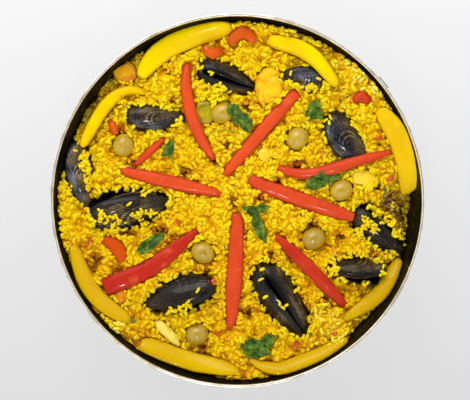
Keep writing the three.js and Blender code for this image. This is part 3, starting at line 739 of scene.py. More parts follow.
def make_pan():
    pan = primitive(
        "cylinder", "pan_body", vertices=144, radius=OUTER_FOOT, depth=RIM_MIDDLE,
        location=(0, 0, RIM_MIDDLE / 2))
    apply_place(pan)
    edit(pan)
    pick(pan, "faces", lambda face: face.normal.z > 0.9)
    bpy.ops.transform.resize(value=(OUTER_TOP / OUTER_FOOT, OUTER_TOP / OUTER_FOOT, 1))
    inner_top = wall_radius(RIM_MIDDLE)
    inset_and_step(OUTER_TOP - inner_top, (0, 0, FLOOR - RIM_MIDDLE))
    draw_in = wall_radius(FLOOR) / inner_top
    bpy.ops.transform.resize(value=(draw_in, draw_in, 1))
    bpy.ops.mesh.select_mode(type="EDGE")
    corners = (wall_radius(FLOOR), FLOOR, CORNER_RADIUS), (OUTER_FOOT, 0, FOOT_RADIUS)
    for radius, height, rounding in corners:
        pick(pan, "edges", lambda edge: all(
            abs(v.co.z - height) < 0.1 * MM and abs(v.co.xy.length - radius) < MM for v in edge.verts))
        bpy.ops.mesh.bevel(offset=rounding, segments=8, affect="EDGES")
    bpy.ops.mesh.select_mode(type="FACE")
    pick(pan, "faces", lambda face: face.normal.z < -0.99 and face.calc_center_median().xy.length < MM)
    for inset, step in FOOT_RINGS:
        inset_and_step(inset * MM, (0, 0, step * MM))
    done_editing()
    in_order(pan)
    pan.data.materials.append(nonstick_finish())
    pan.data.materials.append(enamel_finish())
    for face in pan.data.polygons:
        middle = Vector(face.center)
        outside = face.normal.xy.dot(middle.xy) > 0 and middle.z > 1 * MM
        face.material_index = 1 if outside or middle.z < FLOOR / 2 or face.normal.z < -0.2 else 0
    smooth(pan, 40)
    return dressed(pan, None, "nonstick_metal", "pan")


RIM_FLATNESS = 0.55


def make_rim():
    """The bare metal bead, flattened a little on top by turning."""
    rim = primitive(
        "torus", "pan_rim", major_segments=192, minor_segments=16, major_radius=RIM_RADIUS - BEAD,
        minor_radius=BEAD, location=(0, 0, RIM_MIDDLE))
    apply_place(rim)
    edit(rim, "VERT")
    pick(rim, "verts", lambda vertex: vertex.co.z > RIM_MIDDLE + 0.7 * BEAD)
    bpy.ops.transform.resize(value=(1, 1, RIM_FLATNESS), center_override=(0, 0, PAN_HEIGHT))
    done_editing()
    smooth(rim, 50)
    return dressed(rim, rim_finish(), "nonstick_metal")


LUG_TURN = math.radians(39)
LUG_REACH = 161.6 * MM  # how far the lug's outer side is from the pan's axis
LUG_DEPTH = 5.2 * MM
LUG_WIDTH = 12.6 * MM
SLOT_EDGE = 2.6 * MM  # between the lug's outline and the slot that is pressed into it
SLOT_DEPTH = 1.6 * MM


def make_bracket():
    """A pressed lug on the outside of the wall, with a slot for the handle's clip."""
    low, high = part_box("handle_bracket")
    height = high.z - low.z
    lug = primitive("cube", "handle_lug", size=1)
    lug.scale = (LUG_DEPTH, LUG_WIDTH, height)
    apply_place(lug)
    edit(lug)
    pick(lug, "faces", lambda face: face.normal.x > 0.9)
    inset_and_step(SLOT_EDGE, (-SLOT_DEPTH, 0, 0))
    pick(lug, "faces", lambda face: face.normal.z < -0.9 and face.calc_center_median().z < -0.4 * height)
    bpy.ops.transform.resize(value=(0.7, 0.8, 1))
    bpy.ops.transform.translate(value=(-0.9 * MM, 0, 0))
    bpy.ops.mesh.select_mode(type="EDGE")
    pick(lug, "edges", lambda edge: edge.calc_face_angle(0) > 0.5)
    bpy.ops.mesh.bevel(offset=0.7 * MM, segments=3, affect="EDGES")
    done_editing()
    in_order(lug)
    points = points_of(lug)
    points[:, 0] += LUG_REACH - LUG_DEPTH / 2
    points[:, 2] += (high.z + low.z) / 2
    points[:, 0] -= (high.z - points[:, 2]) * math.tan(WALL_LEAN) * 0.8
    set_points(lug, points @ np.array(Matrix.Rotation(LUG_TURN, 3, "Z")).T)
    smooth(lug, 40)
    steel = plain_mottled("dark_steel", (36, 38, 33), (58, 60, 54), 3 * MM, 0.45, 0.15)
    return dressed(lug, steel, "bracket_metal", "handle_bracket")


# ---- Mussels --------------------------------------------------------------------------------------


def shell_fullness(t):
    """Share of the full width at t along the shell, pointed at 0 and round at 1."""
    t = np.clip(t, 0, 1)
    return (t**0.62 * (1 - t) ** 0.42) / (0.596**0.62 * 0.404**0.42)


def growth_of(t, across):
    """How large the shell was when each point was its edge, 0 to 1."""
    low, high = np.maximum(t, 1e-4), np.ones_like(t)
    for _ in range(22):
        middle = (low + high) / 2
        outside = np.abs(across) > middle * shell_fullness(np.minimum(1, t / middle))
        low, high = np.where(outside, middle, low), np.where(outside, high, middle)
    return (low + high) / 2


def make_valve(name, length, width_share, depth_share, gape, side, seed):
    """One valve, domed to one side, or domed on both where the shell is shut."""
    valve = primitive("uv_sphere", name, segments=64, ring_count=44, radius=1)
    x, y, z = points_of(valve).T
    t, ring = (1 + z) / 2, np.hypot(x, y)
    across, up = (np.divide(v, ring, out=np.zeros_like(t), where=ring > 1e-6) for v in (x, y))
    fullness = shell_fullness(t)
    growth = growth_of(t, across * fullness)
    ridges = np.sin(46 * growth + seed) + 0.6 * np.sin(87 * growth + 2 * seed) + 0.4 * np.sin(131 * growth)
    ribs = np.sin(38 * across * fullness / np.maximum(t, 0.1) + seed)
    relief = (0.07 * ridges + 0.06 * ribs) * MM * np.clip(4 * np.abs(up), 0, 1) * smoothstep(growth, 0.1, 0.4)
    dome = length * depth_share * fullness**0.8 * np.abs(up)
    inner = np.maximum(0, dome - SHELL_THICK) - 0.3 * MM * np.abs(up)
    half_width = length * width_share / 2
    set_points(valve, np.stack([
        (t - 0.5) * length,
        half_width * (across * fullness + 0.16 * np.sin(math.pi * t)),
        side * np.where(up >= 0, dome + relief, inner if gape else -dome - relief),
    ], 1))
    keep_value(valve, "growth", growth)
    keep_value(valve, "fan", across * fullness / np.maximum(t, 0.05))
    keep_value(valve, "lining", (up < -0.02) & bool(gape))
    return valve


def pose_of(at, turn, roll, dip, rise):
    """Where a mussel lies, as a matrix."""
    x, y = at[0] * MM, at[1] * MM
    base = Matrix.Translation((x, y, float(core_height(x, y)) + rise * MM))
    turned = Matrix.Rotation(math.radians(turn), 4, "Z") @ Matrix.Rotation(-math.radians(dip), 4, "Y")
    return base @ turned @ Matrix.Rotation(math.radians(roll), 4, "X")


def make_mussel(key, finish, meat_finish):
    at, length_mm, turn, roll, dip, gape, rise, width_share = MUSSELS[key]
    length = length_mm * MM
    pose = pose_of(at, turn, roll, dip, rise)
    hinge = Vector((math.cos(HINGE_LEAN), math.sin(HINGE_LEAN), 0))
    tip = Matrix.Translation((length / 2, 0, 0))
    depth_share = SWOLLEN_DEPTH if 0 < gape < WIDE_GAPE else SHELL_DEPTH
    valves = []
    for side in (1, -1) if gape else (1,):
        valve = make_valve(f"valve_{key}", length, width_share, depth_share, gape, side, 3 * side + length_mm)
        opening = Matrix.Rotation(math.radians(-side * gape / 2), 4, hinge)
        valve.data.transform(pose @ tip.inverted() @ opening @ tip)
        valves.append(valve)
    shell = joined(valves, f"shell_{key}")
    keep_off_wall(shell, 0.4 * MM)
    keep_value(shell, "dark", SHELL_DARK[key])
    keep_value(shell, "brown", SHELL_BROWN.get(key, 0))
    face_outwards(shell)
    smooth(shell, 70)
    dressed(shell, finish, "mussel_shell", f"mussel_{key}")
    if gape > WIDE_GAPE:
        make_meat(key, length, width_share, pose, meat_finish)


MEAT_LONG, MEAT_WIDE, MEAT_THICK = 0.62, 0.22, 0.045  # of the shell's length or width


def make_meat(key, length, width_share, pose, finish):
    """The cooked meat between the valves, with its frilled edge."""
    meat = primitive("uv_sphere", f"meat_{key}", segments=40, ring_count=20, radius=1)
    x, y, z = points_of(meat).T
    t = (1 + z) / 2
    frill = 1 + 0.05 * np.sin(40 * t + length / MM) * np.abs(x)
    set_points(meat, np.stack([
        (t - 0.55) * length * MEAT_LONG,
        x * length * width_share * MEAT_WIDE * frill - length * 0.08,
        y * length * MEAT_THICK * (1 + 0.3 * np.sin(9 * t)),
    ], 1))
    meat.data.transform(pose)
    keep_off_wall(meat, 2 * MM)
    face_outwards(meat)
    smooth(meat, 80)
    dressed(meat, finish, "mussel_shell")


# ---- Olives, seafood, pepper ----------------------------------------------------------------------

# How much darker and browner each olive is, 0 to 1, where it isn't as green as most: painted shade on the
# olives at the near side.
OLIVE_SHADE = {"olive_bottom": 0.5, "olive_lower_right": 0.55, "olive_lower": 0.4}


def make_olive(node, finish):
    olive = copy_of(node, node + "_flesh")
    subdivide(olive, 3)
    roughen(olive, 14 * MM, 0.4 * MM)
    fill_box(olive, node)
    keep_value(olive, "ripe", OLIVE_SHADE.get(node, 0.15))
    smooth(olive, 80)
    return dressed(olive, finish, "olive_skin", node)


# How much deeper and darker a strip's colour is, 0 to 1, where it isn't as in most of the short ends: mostly
# painted shade on the strips at the near side, partly their own ripeness.
STRIP_DEPTH_AND_SHADE = {
    "yellow_top_left": 0.0, "yellow_left": 0.2, "yellow_top_right": 0.1, "yellow_right": 0.35,
    "yellow_lower_right": 0.9, "yellow_bottom_right": 0.8, "yellow_bottom_left": 0.7,
    "yellow_lower_left": 0.8, "red_upper_left": 0.1, "red_upper_right": 0.0, "red_right": 0.35,
    "red_centre_right": 0.3, "red_left": 0.15, "red_lower_right": 0.8, "red_bottom": 0.25,
    "red_lower_left": 1.0, "red_bit_lower_left": 0.8,
}

# How far a strip is pushed out and how high its outer edge is lifted, in mm, then how far its right end is
# drawn out and how aslant that end is cut, in radians.
LEANING = {"yellow_right": (4.2, 8.5, 0.05, 0.05), "yellow_top_left": (0.8, 5, 0, 0)}

PLAIN_LEANING = (0, 4.5, 0, 0)
SLOPE_FROM, SLOPE_TO = 138 * MM, 154 * MM  # where a strip leaves the rice, and where it leans fully


def lean_on_wall(strip, node):
    """Lifts the edge of a strip that lies against the wall, so that it rests on the slope."""
    out, lift, longer, slant = LEANING.get(node, PLAIN_LEANING)
    points = points_of(strip)
    reach, turn = polar(points)
    share = smoothstep(reach, SLOPE_FROM, SLOPE_TO)
    reach = reach * (1 + 0.012 * share) + out * MM
    cut = slant * smoothstep(reach, 140 * MM, 158 * MM) - longer
    turn += cut * smoothstep(turn, 0.35, 0.08)
    set_polar(points, reach, turn)
    points[:, 2] += lift * MM * share
    set_points(strip, kept_off_wall(points, 0.35 * MM))


END_FROM, END_SHARE = 0.82, 0.18  # of a strip's half length: where its end starts, and its length
END_WIDTH = 0.35


def round_ends(strip):
    """Narrows the ends of a strip that curves round the wall."""
    points = points_of(strip)
    reach, turn = polar(points)
    middle = np.polyval(np.polyfit(turn, reach, 3), turn)
    share = 2 * (turn - turn.min()) / (turn.max() - turn.min()) - 1
    past = np.clip((np.abs(share) - END_FROM) / END_SHARE, 0, 1)
    reach = middle + (reach - middle) * (END_WIDTH + (1 - END_WIDTH) * np.sqrt(1 - past**2))
    set_polar(points, reach, turn)
    set_points(strip, points)


TOP_FACING = 0.6  # upward part of a normal from which a strip's face belongs to its top
SHARP = math.radians(48)

# How a strip's corners are rounded, first those along its top: whether on top, per cent of an edge, segments.
STRIP_BEVELS = ((True, 46, 3), (False, 12, 1))
SKIN_RISE = 0.7 * MM


def make_strip(node, finish, slot):
    """A strip of pepper: its cut edges are rounded, its skin is uneven and shines."""
    strip = copy_of(node, node + "_pepper")
    edit(strip, "VERT")
    pick(strip, "verts", lambda vertex: all(face.normal.z > TOP_FACING for face in vertex.link_faces))
    bpy.ops.transform.translate(value=(0, 0, SKIN_RISE))
    bpy.ops.mesh.select_mode(type="EDGE")
    for on_top, share, segments in STRIP_BEVELS:
        pick(strip, "edges", lambda edge: (
            edge.is_manifold and edge.calc_face_angle(0) > SHARP
            and on_top == any(face.normal.z > TOP_FACING for face in edge.link_faces)))
        bpy.ops.mesh.bevel(offset_type="PERCENT", offset_pct=share, segments=segments, affect="EDGES")
    done_editing()
    in_order(strip)
    subdivide(strip, 1)
    roughen(strip, 12 * MM, 1.0 * MM)
    if node.startswith("yellow"):
        round_ends(strip)
        lean_on_wall(strip, node)
    redraw(strip, node)
    upward = np.empty(len(strip.data.vertices) * 3)
    strip.data.vertices.foreach_get("normal", upward)
    keep_value(strip, "upward", upward[2::3])
    keep_value(strip, "ripe", STRIP_DEPTH_AND_SHADE.get(node, 0.3))
    smooth(strip, 60)
    return dressed(strip, finish, slot, node)


def make_lump(node, finish, slot, size, height):
    """A chunk of seafood or pepper with an uneven, fibrous surface."""
    lump = copy_of(node, node + "_chunk")
    subdivide(lump, 3)
    roughen(lump, size * MM, height * MM)
    fill_box(lump, node)
    redraw(lump, node)
    smooth(lump, 70)
    return dressed(lump, finish, slot, node)


PRAWN_BEND = [(36, 102), (30, 110), (22, 102), (21, 91), (25, 80)]
PRAWN_RINGS = 6


def nearest_on(path, x, y):
    """Share of the way along a plan path that is nearest to each point, and the side it is on."""
    line = np.array(path) * MM
    steps = np.linalg.norm(np.diff(line, axis=0), axis=1)
    starts = np.concatenate([[0], np.cumsum(steps)])
    best = np.full(len(x), np.inf)
    share, side = np.zeros(len(x)), np.zeros(len(x))
    for k, step in enumerate(steps):
        forward = (line[k + 1] - line[k]) / step
        away = np.stack([x - line[k, 0], y - line[k, 1]], 1)
        s = np.clip(away @ forward, 0, step)
        offset = away - s[:, None] * forward
        distance = np.hypot(*offset.T)
        nearer = distance < best
        best = np.where(nearer, distance, best)
        share = np.where(nearer, (starts[k] + s) / starts[-1], share)
        side = np.where(nearer, forward[0] * offset[:, 1] - forward[1] * offset[:, 0], side)
    return share, side


def make_flake(name, finish, at, size, turn):
    """A flake of flesh that breaks into the rice beside it."""
    flake = primitive("ico_sphere", name, subdivisions=4, radius=0.5)
    x, y, rise = (value * MM for value in at)
    flake.scale = [value * MM for value in size]
    flake.rotation_euler = (0, 0, math.radians(turn))
    flake.location = (x, y, float(core_height(x, y)) + rise)
    apply_place(flake)
    roughen(flake, 7 * MM, 2.6 * MM)
    keep_value(flake, "flank", 0.25)
    smooth(flake, 80)
    return dressed(flake, finish, "prawn_flesh")


def make_prawn(finish):
    """The curled prawn, its back stepped in rings that overlap towards the tail."""
    prawn = copy_of("prawn", "prawn_curl")
    subdivide(prawn, 3)
    roughen(prawn, 8 * MM, 0.8 * MM)
    points = points_of(prawn)
    share, side = nearest_on(PRAWN_BEND, points[:, 0], points[:, 1])
    step = (share * PRAWN_RINGS) % 1
    middle = points.mean(0)
    points += (points - middle) * (0.05 * (step - 0.5))[:, None]
    set_points(prawn, points)
    fill_box(prawn, "prawn")
    keep_value(prawn, "flank", np.clip(0.9 * (step > 0.78) + smoothstep(side, 2 * MM, 6 * MM), 0, 1))
    smooth(prawn, 70)
    return dressed(prawn, finish, "prawn_flesh", "prawn")


# ---- What has been laid down, as a height map -----------------------------------------------------

CELL = 0.75 * MM
SIDE = 2 * int(math.ceil(RIM_RADIUS / CELL)) + 1
NOTHING = 10.0


def to_cell(value):
    return np.clip(np.rint(np.asarray(value) / CELL).astype(int) + SIDE // 2, 0, SIDE - 1)


def tree_of(pieces):
    """One search tree over all of these pieces."""
    points, faces, start = [], [], 0
    for piece in pieces:
        points.extend(piece.data.vertices[i].co[:] for i in range(len(piece.data.vertices)))
        faces.extend([start + v for v in face.vertices] for face in piece.data.polygons)
        start = len(points)
    return BVHTree.FromPolygons(points, faces)


def shifted(field, cells):
    """The field, moved to each place within that many cells."""
    for dx in range(-cells, cells + 1):
        for dy in range(-cells, cells + 1):
            if dx * dx + dy * dy <= cells * cells + 1:
                yield np.roll(field, (dx, dy), (0, 1))


def spread_extreme(field, cells, extreme):
    """Each cell takes the lowest or highest value within that many cells."""
    result = field
    for moved in shifted(field, cells):
        result = extreme(result, moved)
    return result


def map_toppings(pieces):
    """Height of the underside and of the top of these pieces over each cell."""
    tree = tree_of(pieces)
    under = np.full((SIDE, SIDE), NOTHING)
    over = np.full((SIDE, SIDE), -NOTHING)
    up, down = Vector((0, 0, 1)), Vector((0, 0, -1))
    half = SIDE // 2
    for piece in pieces:
        points = points_of(piece)
        (x0, y0), (x1, y1) = to_cell(points[:, :2].min(0)), to_cell(points[:, :2].max(0))
        for i in range(x0, x1 + 1):
            for j in range(y0, y1 + 1):
                if over[i, j] > -NOTHING:
                    continue
                x, y = (i - half) * CELL, (j - half) * CELL
                hit = tree.ray_cast(Vector((x, y, 0.2)), down)[0]
                if hit is not None:
                    over[i, j] = hit.z
                    under[i, j] = tree.ray_cast(Vector((x, y, 0)), up)[0].z
    return under, over, tree


def grown(mask, cells):
    """The mask with every cell within that many cells of it."""
    return spread_extreme(mask, cells, np.logical_or)


def cells_at(x, y, size):
    """Rounded clumps of that size and how close each point is to a crevice between them."""
    lump, crevice = np.zeros(len(x)), np.zeros(len(x))
    for k, (px, py) in enumerate(zip(x / size, y / size)):
        distances = noise.voronoi(Vector((px, py, 0.37)))[0]
        lump[k] = distances[0]
        crevice[k] = distances[1] - distances[0]
    return lump, crevice


CLUMPS = [(15 * MM, 5.4 * MM, 0.16), (7.5 * MM, 3.2 * MM, 0.22)]  # size, height, share that is crevice
CREVICE_DEPTH = 3.4 * MM


def clump_relief(x, y):
    """Rise of the rice's clumps over the bare core, and the share of a crevice at each point."""
    warp_x = x + 2.2 * MM * np.sin(y / (6.1 * MM)) + 1.4 * MM * np.sin(x / (3.7 * MM) + 1)
    warp_y = y + 2.2 * MM * np.sin(x / (6.7 * MM) + 2) + 1.4 * MM * np.sin(y / (4.1 * MM))
    relief, crevices = np.zeros(len(x)), np.zeros(len(x))
    for size, height, opening in CLUMPS:
        lump, crevice = cells_at(warp_x, warp_y, size)
        relief += height * (0.45 - lump)
        crevices = np.maximum(crevices, 1 - smoothstep(crevice, 0.0, opening))
    return relief, crevices


CORE_CELLS = 176
GRAIN_LAYER = 1.3 * MM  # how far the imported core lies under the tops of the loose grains


def disc_of(piece, radius):
    """Turns a flat square grid, 2 across, into a disc with even cells."""
    points = points_of(piece)
    x, y = points[:, 0].copy(), points[:, 1].copy()
    points[:, 0] = radius * x * np.sqrt(1 - y * y / 2)
    points[:, 1] = radius * y * np.sqrt(1 - x * x / 2)
    return points


PRESSED_GAP = 0.6 * MM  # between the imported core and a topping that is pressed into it
CORE_GAP = 0.8 * MM  # between the core and the wall

CORE_SIDE = [  # heights and radii below its upper edge
    (19 * MM, wall_radius(19 * MM) - CORE_GAP), (9 * MM, 140.5 * MM), (FLOOR + 0.4 * MM, 131 * MM),
]


def make_core(under):
    """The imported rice: clumped on top, pressed down under the toppings, filling the pan below."""
    core = primitive("grid", "rice_core", x_subdivisions=CORE_CELLS, y_subdivisions=CORE_CELLS, size=2)
    radius = wall_radius(RICE_LEVEL + WALL_HEAP) - CORE_GAP
    points = disc_of(core, radius)
    x, y = points[:, 0].copy(), points[:, 1].copy()
    relief, crevices = clump_relief(x, y)
    height = core_height(x, y) + relief - CREVICE_DEPTH * crevices - GRAIN_LAYER
    pit = pit_share(x, y)
    height += heap_height(x, y) - PIT_DEPTH * pit
    for hollow in HOLLOWS:
        away, _ = seen_from(hollow, x, y)
        bowl = RICE_LEVEL - 7 * MM * np.clip(1.4 - away, 0, 1) + 14 * MM * np.clip(away - 1, 0, 9)
        height = np.minimum(height, bowl)
    pressed = spread_extreme(under, 2, np.minimum)[to_cell(x), to_cell(y)]
    points[:, 2] = np.minimum(height, pressed - PRESSED_GAP)
    set_points(core, kept_off_wall(points, CORE_GAP))
    keep_value(core, "pit", pit)
    edit(core, "EDGE")
    bpy.ops.mesh.select_non_manifold(extend=False)
    reach = radius
    for level, spread_to in CORE_SIDE:
        bpy.ops.mesh.extrude_edges_move()
        share = spread_to / reach
        bpy.ops.transform.resize(value=(share, share, 0), center_override=(0, 0, level))
        reach = spread_to
    bpy.ops.mesh.edge_face_add()
    bpy.ops.mesh.select_all(action="SELECT")
    bpy.ops.mesh.normals_make_consistent(inside=False)
    done_editing()
    smooth(core, 80)
    return dressed(core, core_finish(), "saffron_rice", "rice")


# ---- Loose grains ---------------------------------------------------------------------------------

SPILL_CELLS = 3  # how far grains may lie over the edge of a shell or a chunk
GRAIN_SIDES = 6
GRAIN_STATIONS = (-0.43, -0.2, 0.2, 0.43)
LEAST_NEED = 0.25 * MM  # how much too low the bed has to be for one more grain

# How many grains are tried, how long and how thick they are in mm, and from how many places each picks.
WHOLE_GRAINS = (17000, (5.0, 7.2), (2.8, 3.4), 5)
BROKEN_GRAINS = (5000, (2.4, 4.0), (2.0, 2.6), 8)
LOOSE_LONG, LOOSE_THICK = (4.6, 6.6), (2.3, 2.8)


def grain_shape():
    """A rounded grain along X, 1 long and 1 thick: its points and its faces."""
    points = [(-0.5, 0, 0)]
    for station in GRAIN_STATIONS:
        radius = 0.5 * (1 - (2 * abs(station)) ** 3.2) ** 0.5
        for k in range(GRAIN_SIDES):
            angle = 2 * math.pi * k / GRAIN_SIDES
            points.append((station, radius * math.cos(angle), radius * math.sin(angle)))
    points.append((0.5, 0, 0))
    last = len(points) - 1
    faces = []
    for k in range(GRAIN_SIDES):
        after = (k + 1) % GRAIN_SIDES
        faces.append((0, 1 + after, 1 + k))
        for ring in range(len(GRAIN_STATIONS) - 1):
            a, b = 1 + ring * GRAIN_SIDES, 1 + (ring + 1) * GRAIN_SIDES
            faces.append((a + k, a + after, b + after, b + k))
        faces.append((last, last - GRAIN_SIDES + k, last - GRAIN_SIDES + after))
    return np.array(points), faces


def bit_shape():
    """A small rounded chunk, 1 across: its points and its faces."""
    ball = primitive("ico_sphere", "bit_pattern", subdivisions=2, radius=0.5)
    points = points_of(ball)
    swell = 1 + 0.16 * np.sin(7 * points[:, 0] + 5 * points[:, 1]) + 0.12 * np.cos(9 * points[:, 2])
    points *= swell[:, None]
    faces = [tuple(face.vertices) for face in ball.data.polygons]
    bpy.data.objects.remove(ball)
    return points, faces


def scatter_mesh(name, shape, rows):
    """Joins one copy of a shape for each row: middle, size, yaw, pitch, roll, bend and tone."""
    pattern, faces = shape
    middles, sizes, yaws, pitches, rolls, bends, tones = (np.array(column, float) for column in zip(*rows))
    local = pattern[None] * sizes[:, None, :]
    local[:, :, 1] += bends[:, None] * (pattern[None, :, 0] ** 2 - 0.08) * sizes[:, None, 0]
    for angles, first, second in ((rolls, 1, 2), (pitches, 0, 2), (yaws, 0, 1)):
        cos, sin = np.cos(angles)[:, None], np.sin(angles)[:, None]
        a, b = local[:, :, first].copy(), local[:, :, second].copy()
        local[:, :, first] = a * cos - b * sin
        local[:, :, second] = a * sin + b * cos
    points = (local + middles[:, None, :]).reshape(-1, 3)
    corners = len(pattern)
    mesh = bpy.data.meshes.new(name)
    mesh.from_pydata(points.tolist(), [], [
        [start + corner for corner in face] for start in range(0, len(points), corners) for face in faces])
    mesh.shade_smooth()
    piece = added(name, mesh)
    keep_value(piece, "tone", np.repeat(tones, corners))
    return piece


# Clumps of rice lying over the edges of shells: place in plan and radius.
CLUMPS_ON_SHELLS = [
    (-114, -13, 7.5), (-102, -17, 6), (-86, -12, 6), (-76, -9, 4.5), (-129, 28, 7), (-126, 15, 6.5),
    (-132, 38, 5), (-127, 22, 6), (54, 96, 5.5), (64, 97, 5.5), (45, 101, 4), (121, -9, 7), (133, -18, 5),
    (141, -30, 4.5), (112, -20, 6.5), (118, -25, 4), (-18, 93, 5.5), (-12, 89, 4), (128, -53, 4),
    (83, -60, 5), (110, -71, 3), (124, -62, 3), (-57, -95, 3.5), (-50, -93, 3.5), (-43, -89, 3.5),
    (-27, -84, 4), (-50, 67, 5), (-58, 81, 4), (20, -80, 3), (-97, 9.5, 3), (-80, 5.5, 3), (104, 30, 5),
    (136, -25, 4.5),
]

# Gaps beside open shells that the rice has not filled: place in plan and radius.
HOLLOWS = [
    (-109, 6, 2.5), (-100, 7.5, 3), (-92, 8.5, 3.5), (-84, 8, 3.5), (-76, 7, 3.5), (-68, 5, 3), (-62, 3, 3),
    (-70, -97, 3), (-62, -97, 3.5), (-54, -95, 4), (-46, -92, 4), (-38, -88, 4.5), (-30, -83, 4.5),
    (-23, -77, 4), (90, -75, 3), (98, -77, 3.5), (107, -77, 3.5), (115, -74, 2.5), (84, -66, 3),
    (78, -35, 3.5), (63, -39, 4), (70, -41, 4),
]

# Pits in the rice, with painted shade that makes them dark brown: place in plan and radius.
PITS = [
    (76, -86, 5), (80, -91, 4), (-46, 25, 4), (-2, -2, 4.5), (6.5, -25, 3.5), (7, -32, 3), (20, 0.5, 4.5),
    (51, 31, 4), (57, 33, 3), (-94, -27, 4.5), (-100, -28, 3.5), (-92, 32, 4), (-72, -26, 4),
    (-64, -27, 3.5), (8, -97, 4.5), (62, -98, 4), (-29, -129, 3.5), (8, 82, 3.5), (-56, 86, 3),
    (-34, 55, 3.5), (-37, -42, 4), (28, -48, 4), (64, -20, 3.5), (-20, 34, 4), (-60, 112, 3.5),
    (-28, -62, 3.5), (90, -30, 4), (46, -52, 3.5), (-104, 62, 4), (-10, 48, 3.5), (122, 12, 3.5),
    (112, -43, 3.5), (119, -46, 3), (-122, -50, 4), (-88, -66, 4), (36, 16, 3.5),
]

PIT_DEPTH = 5.2 * MM


def pit_share(x, y):
    """How far each place lies inside a pit, 0 to 1."""
    share = np.zeros_like(x)
    for pit in PITS:
        away, turn = seen_from(pit, x, y)
        away = away * (1 + 0.3 * np.sin(3 * turn + pit[0]))
        share = np.maximum(share, np.clip(1.9 - 1.3 * away, 0, 1))
    return share


# What a grain's tone, 0 to 1, is made up of. Height, clumps, crevices and pits add painted light and shade to
# it.
PLAIN_TONE = 0.68
TONE_BY_CHANCE = 0.15
LIGHT_BY_HEIGHT = 0.06  # painted light and shade: paler for each mm over the bed's final clumps, darker under them
CLUMP_TOP_LIGHT = 0.09  # painted light on the clumps' tops, for each mm of a clump's height
CREVICE_SHADE, CREVICE_SHADE_FAR = 0.62, 0.16  # painted shade in crevices, and how much less of it at the far side, which is lit more
SLOW_TONE = 0.16
# Painted shade: how much darker the grains in a pit are.
PIT_SHADE = 0.9
# Painted light: how much paler the rice at the far right is.
FAR_RIGHT_LIGHT = 0.1
SPILL_TONE = 0.06  # the least on the edge of a shell


def shade_of(x, y, relief, crevices, pit):
    """How pale the grains at each place are: painted light on the clumps' tops and at the far right, painted
    shade in crevices and pits, and a slow change of tone.
    """
    crevice_shade = CREVICE_SHADE - CREVICE_SHADE_FAR * smoothstep(y, -50 * MM, 50 * MM)
    shade = CLUMP_TOP_LIGHT * relief / MM - crevice_shade * crevices
    slow = np.sin(x / (17 * MM) + 1.3 * np.sin(y / (23 * MM)))
    slow = slow * np.sin(y / (14 * MM) + 1.1 * np.sin(x / (19 * MM)))
    far_right = smoothstep(x + y, 50 * MM, 190 * MM)
    return shade + (SLOW_TONE * slow - PIT_SHADE * pit + FAR_RIGHT_LIGHT * far_right)


STEEPEST = 0.6  # pitch that a grain may take, in radians
WAVER = 0.1  # by chance, in radians
SINKING = 0.04  # share of its thickness by which a grain sinks in
GRAIN_POINTS = np.array([-0.42, -0.21, 0, 0.21, 0.42])  # along a grain's middle line, where it is 1 long
GRAIN_FLATNESS = 0.82


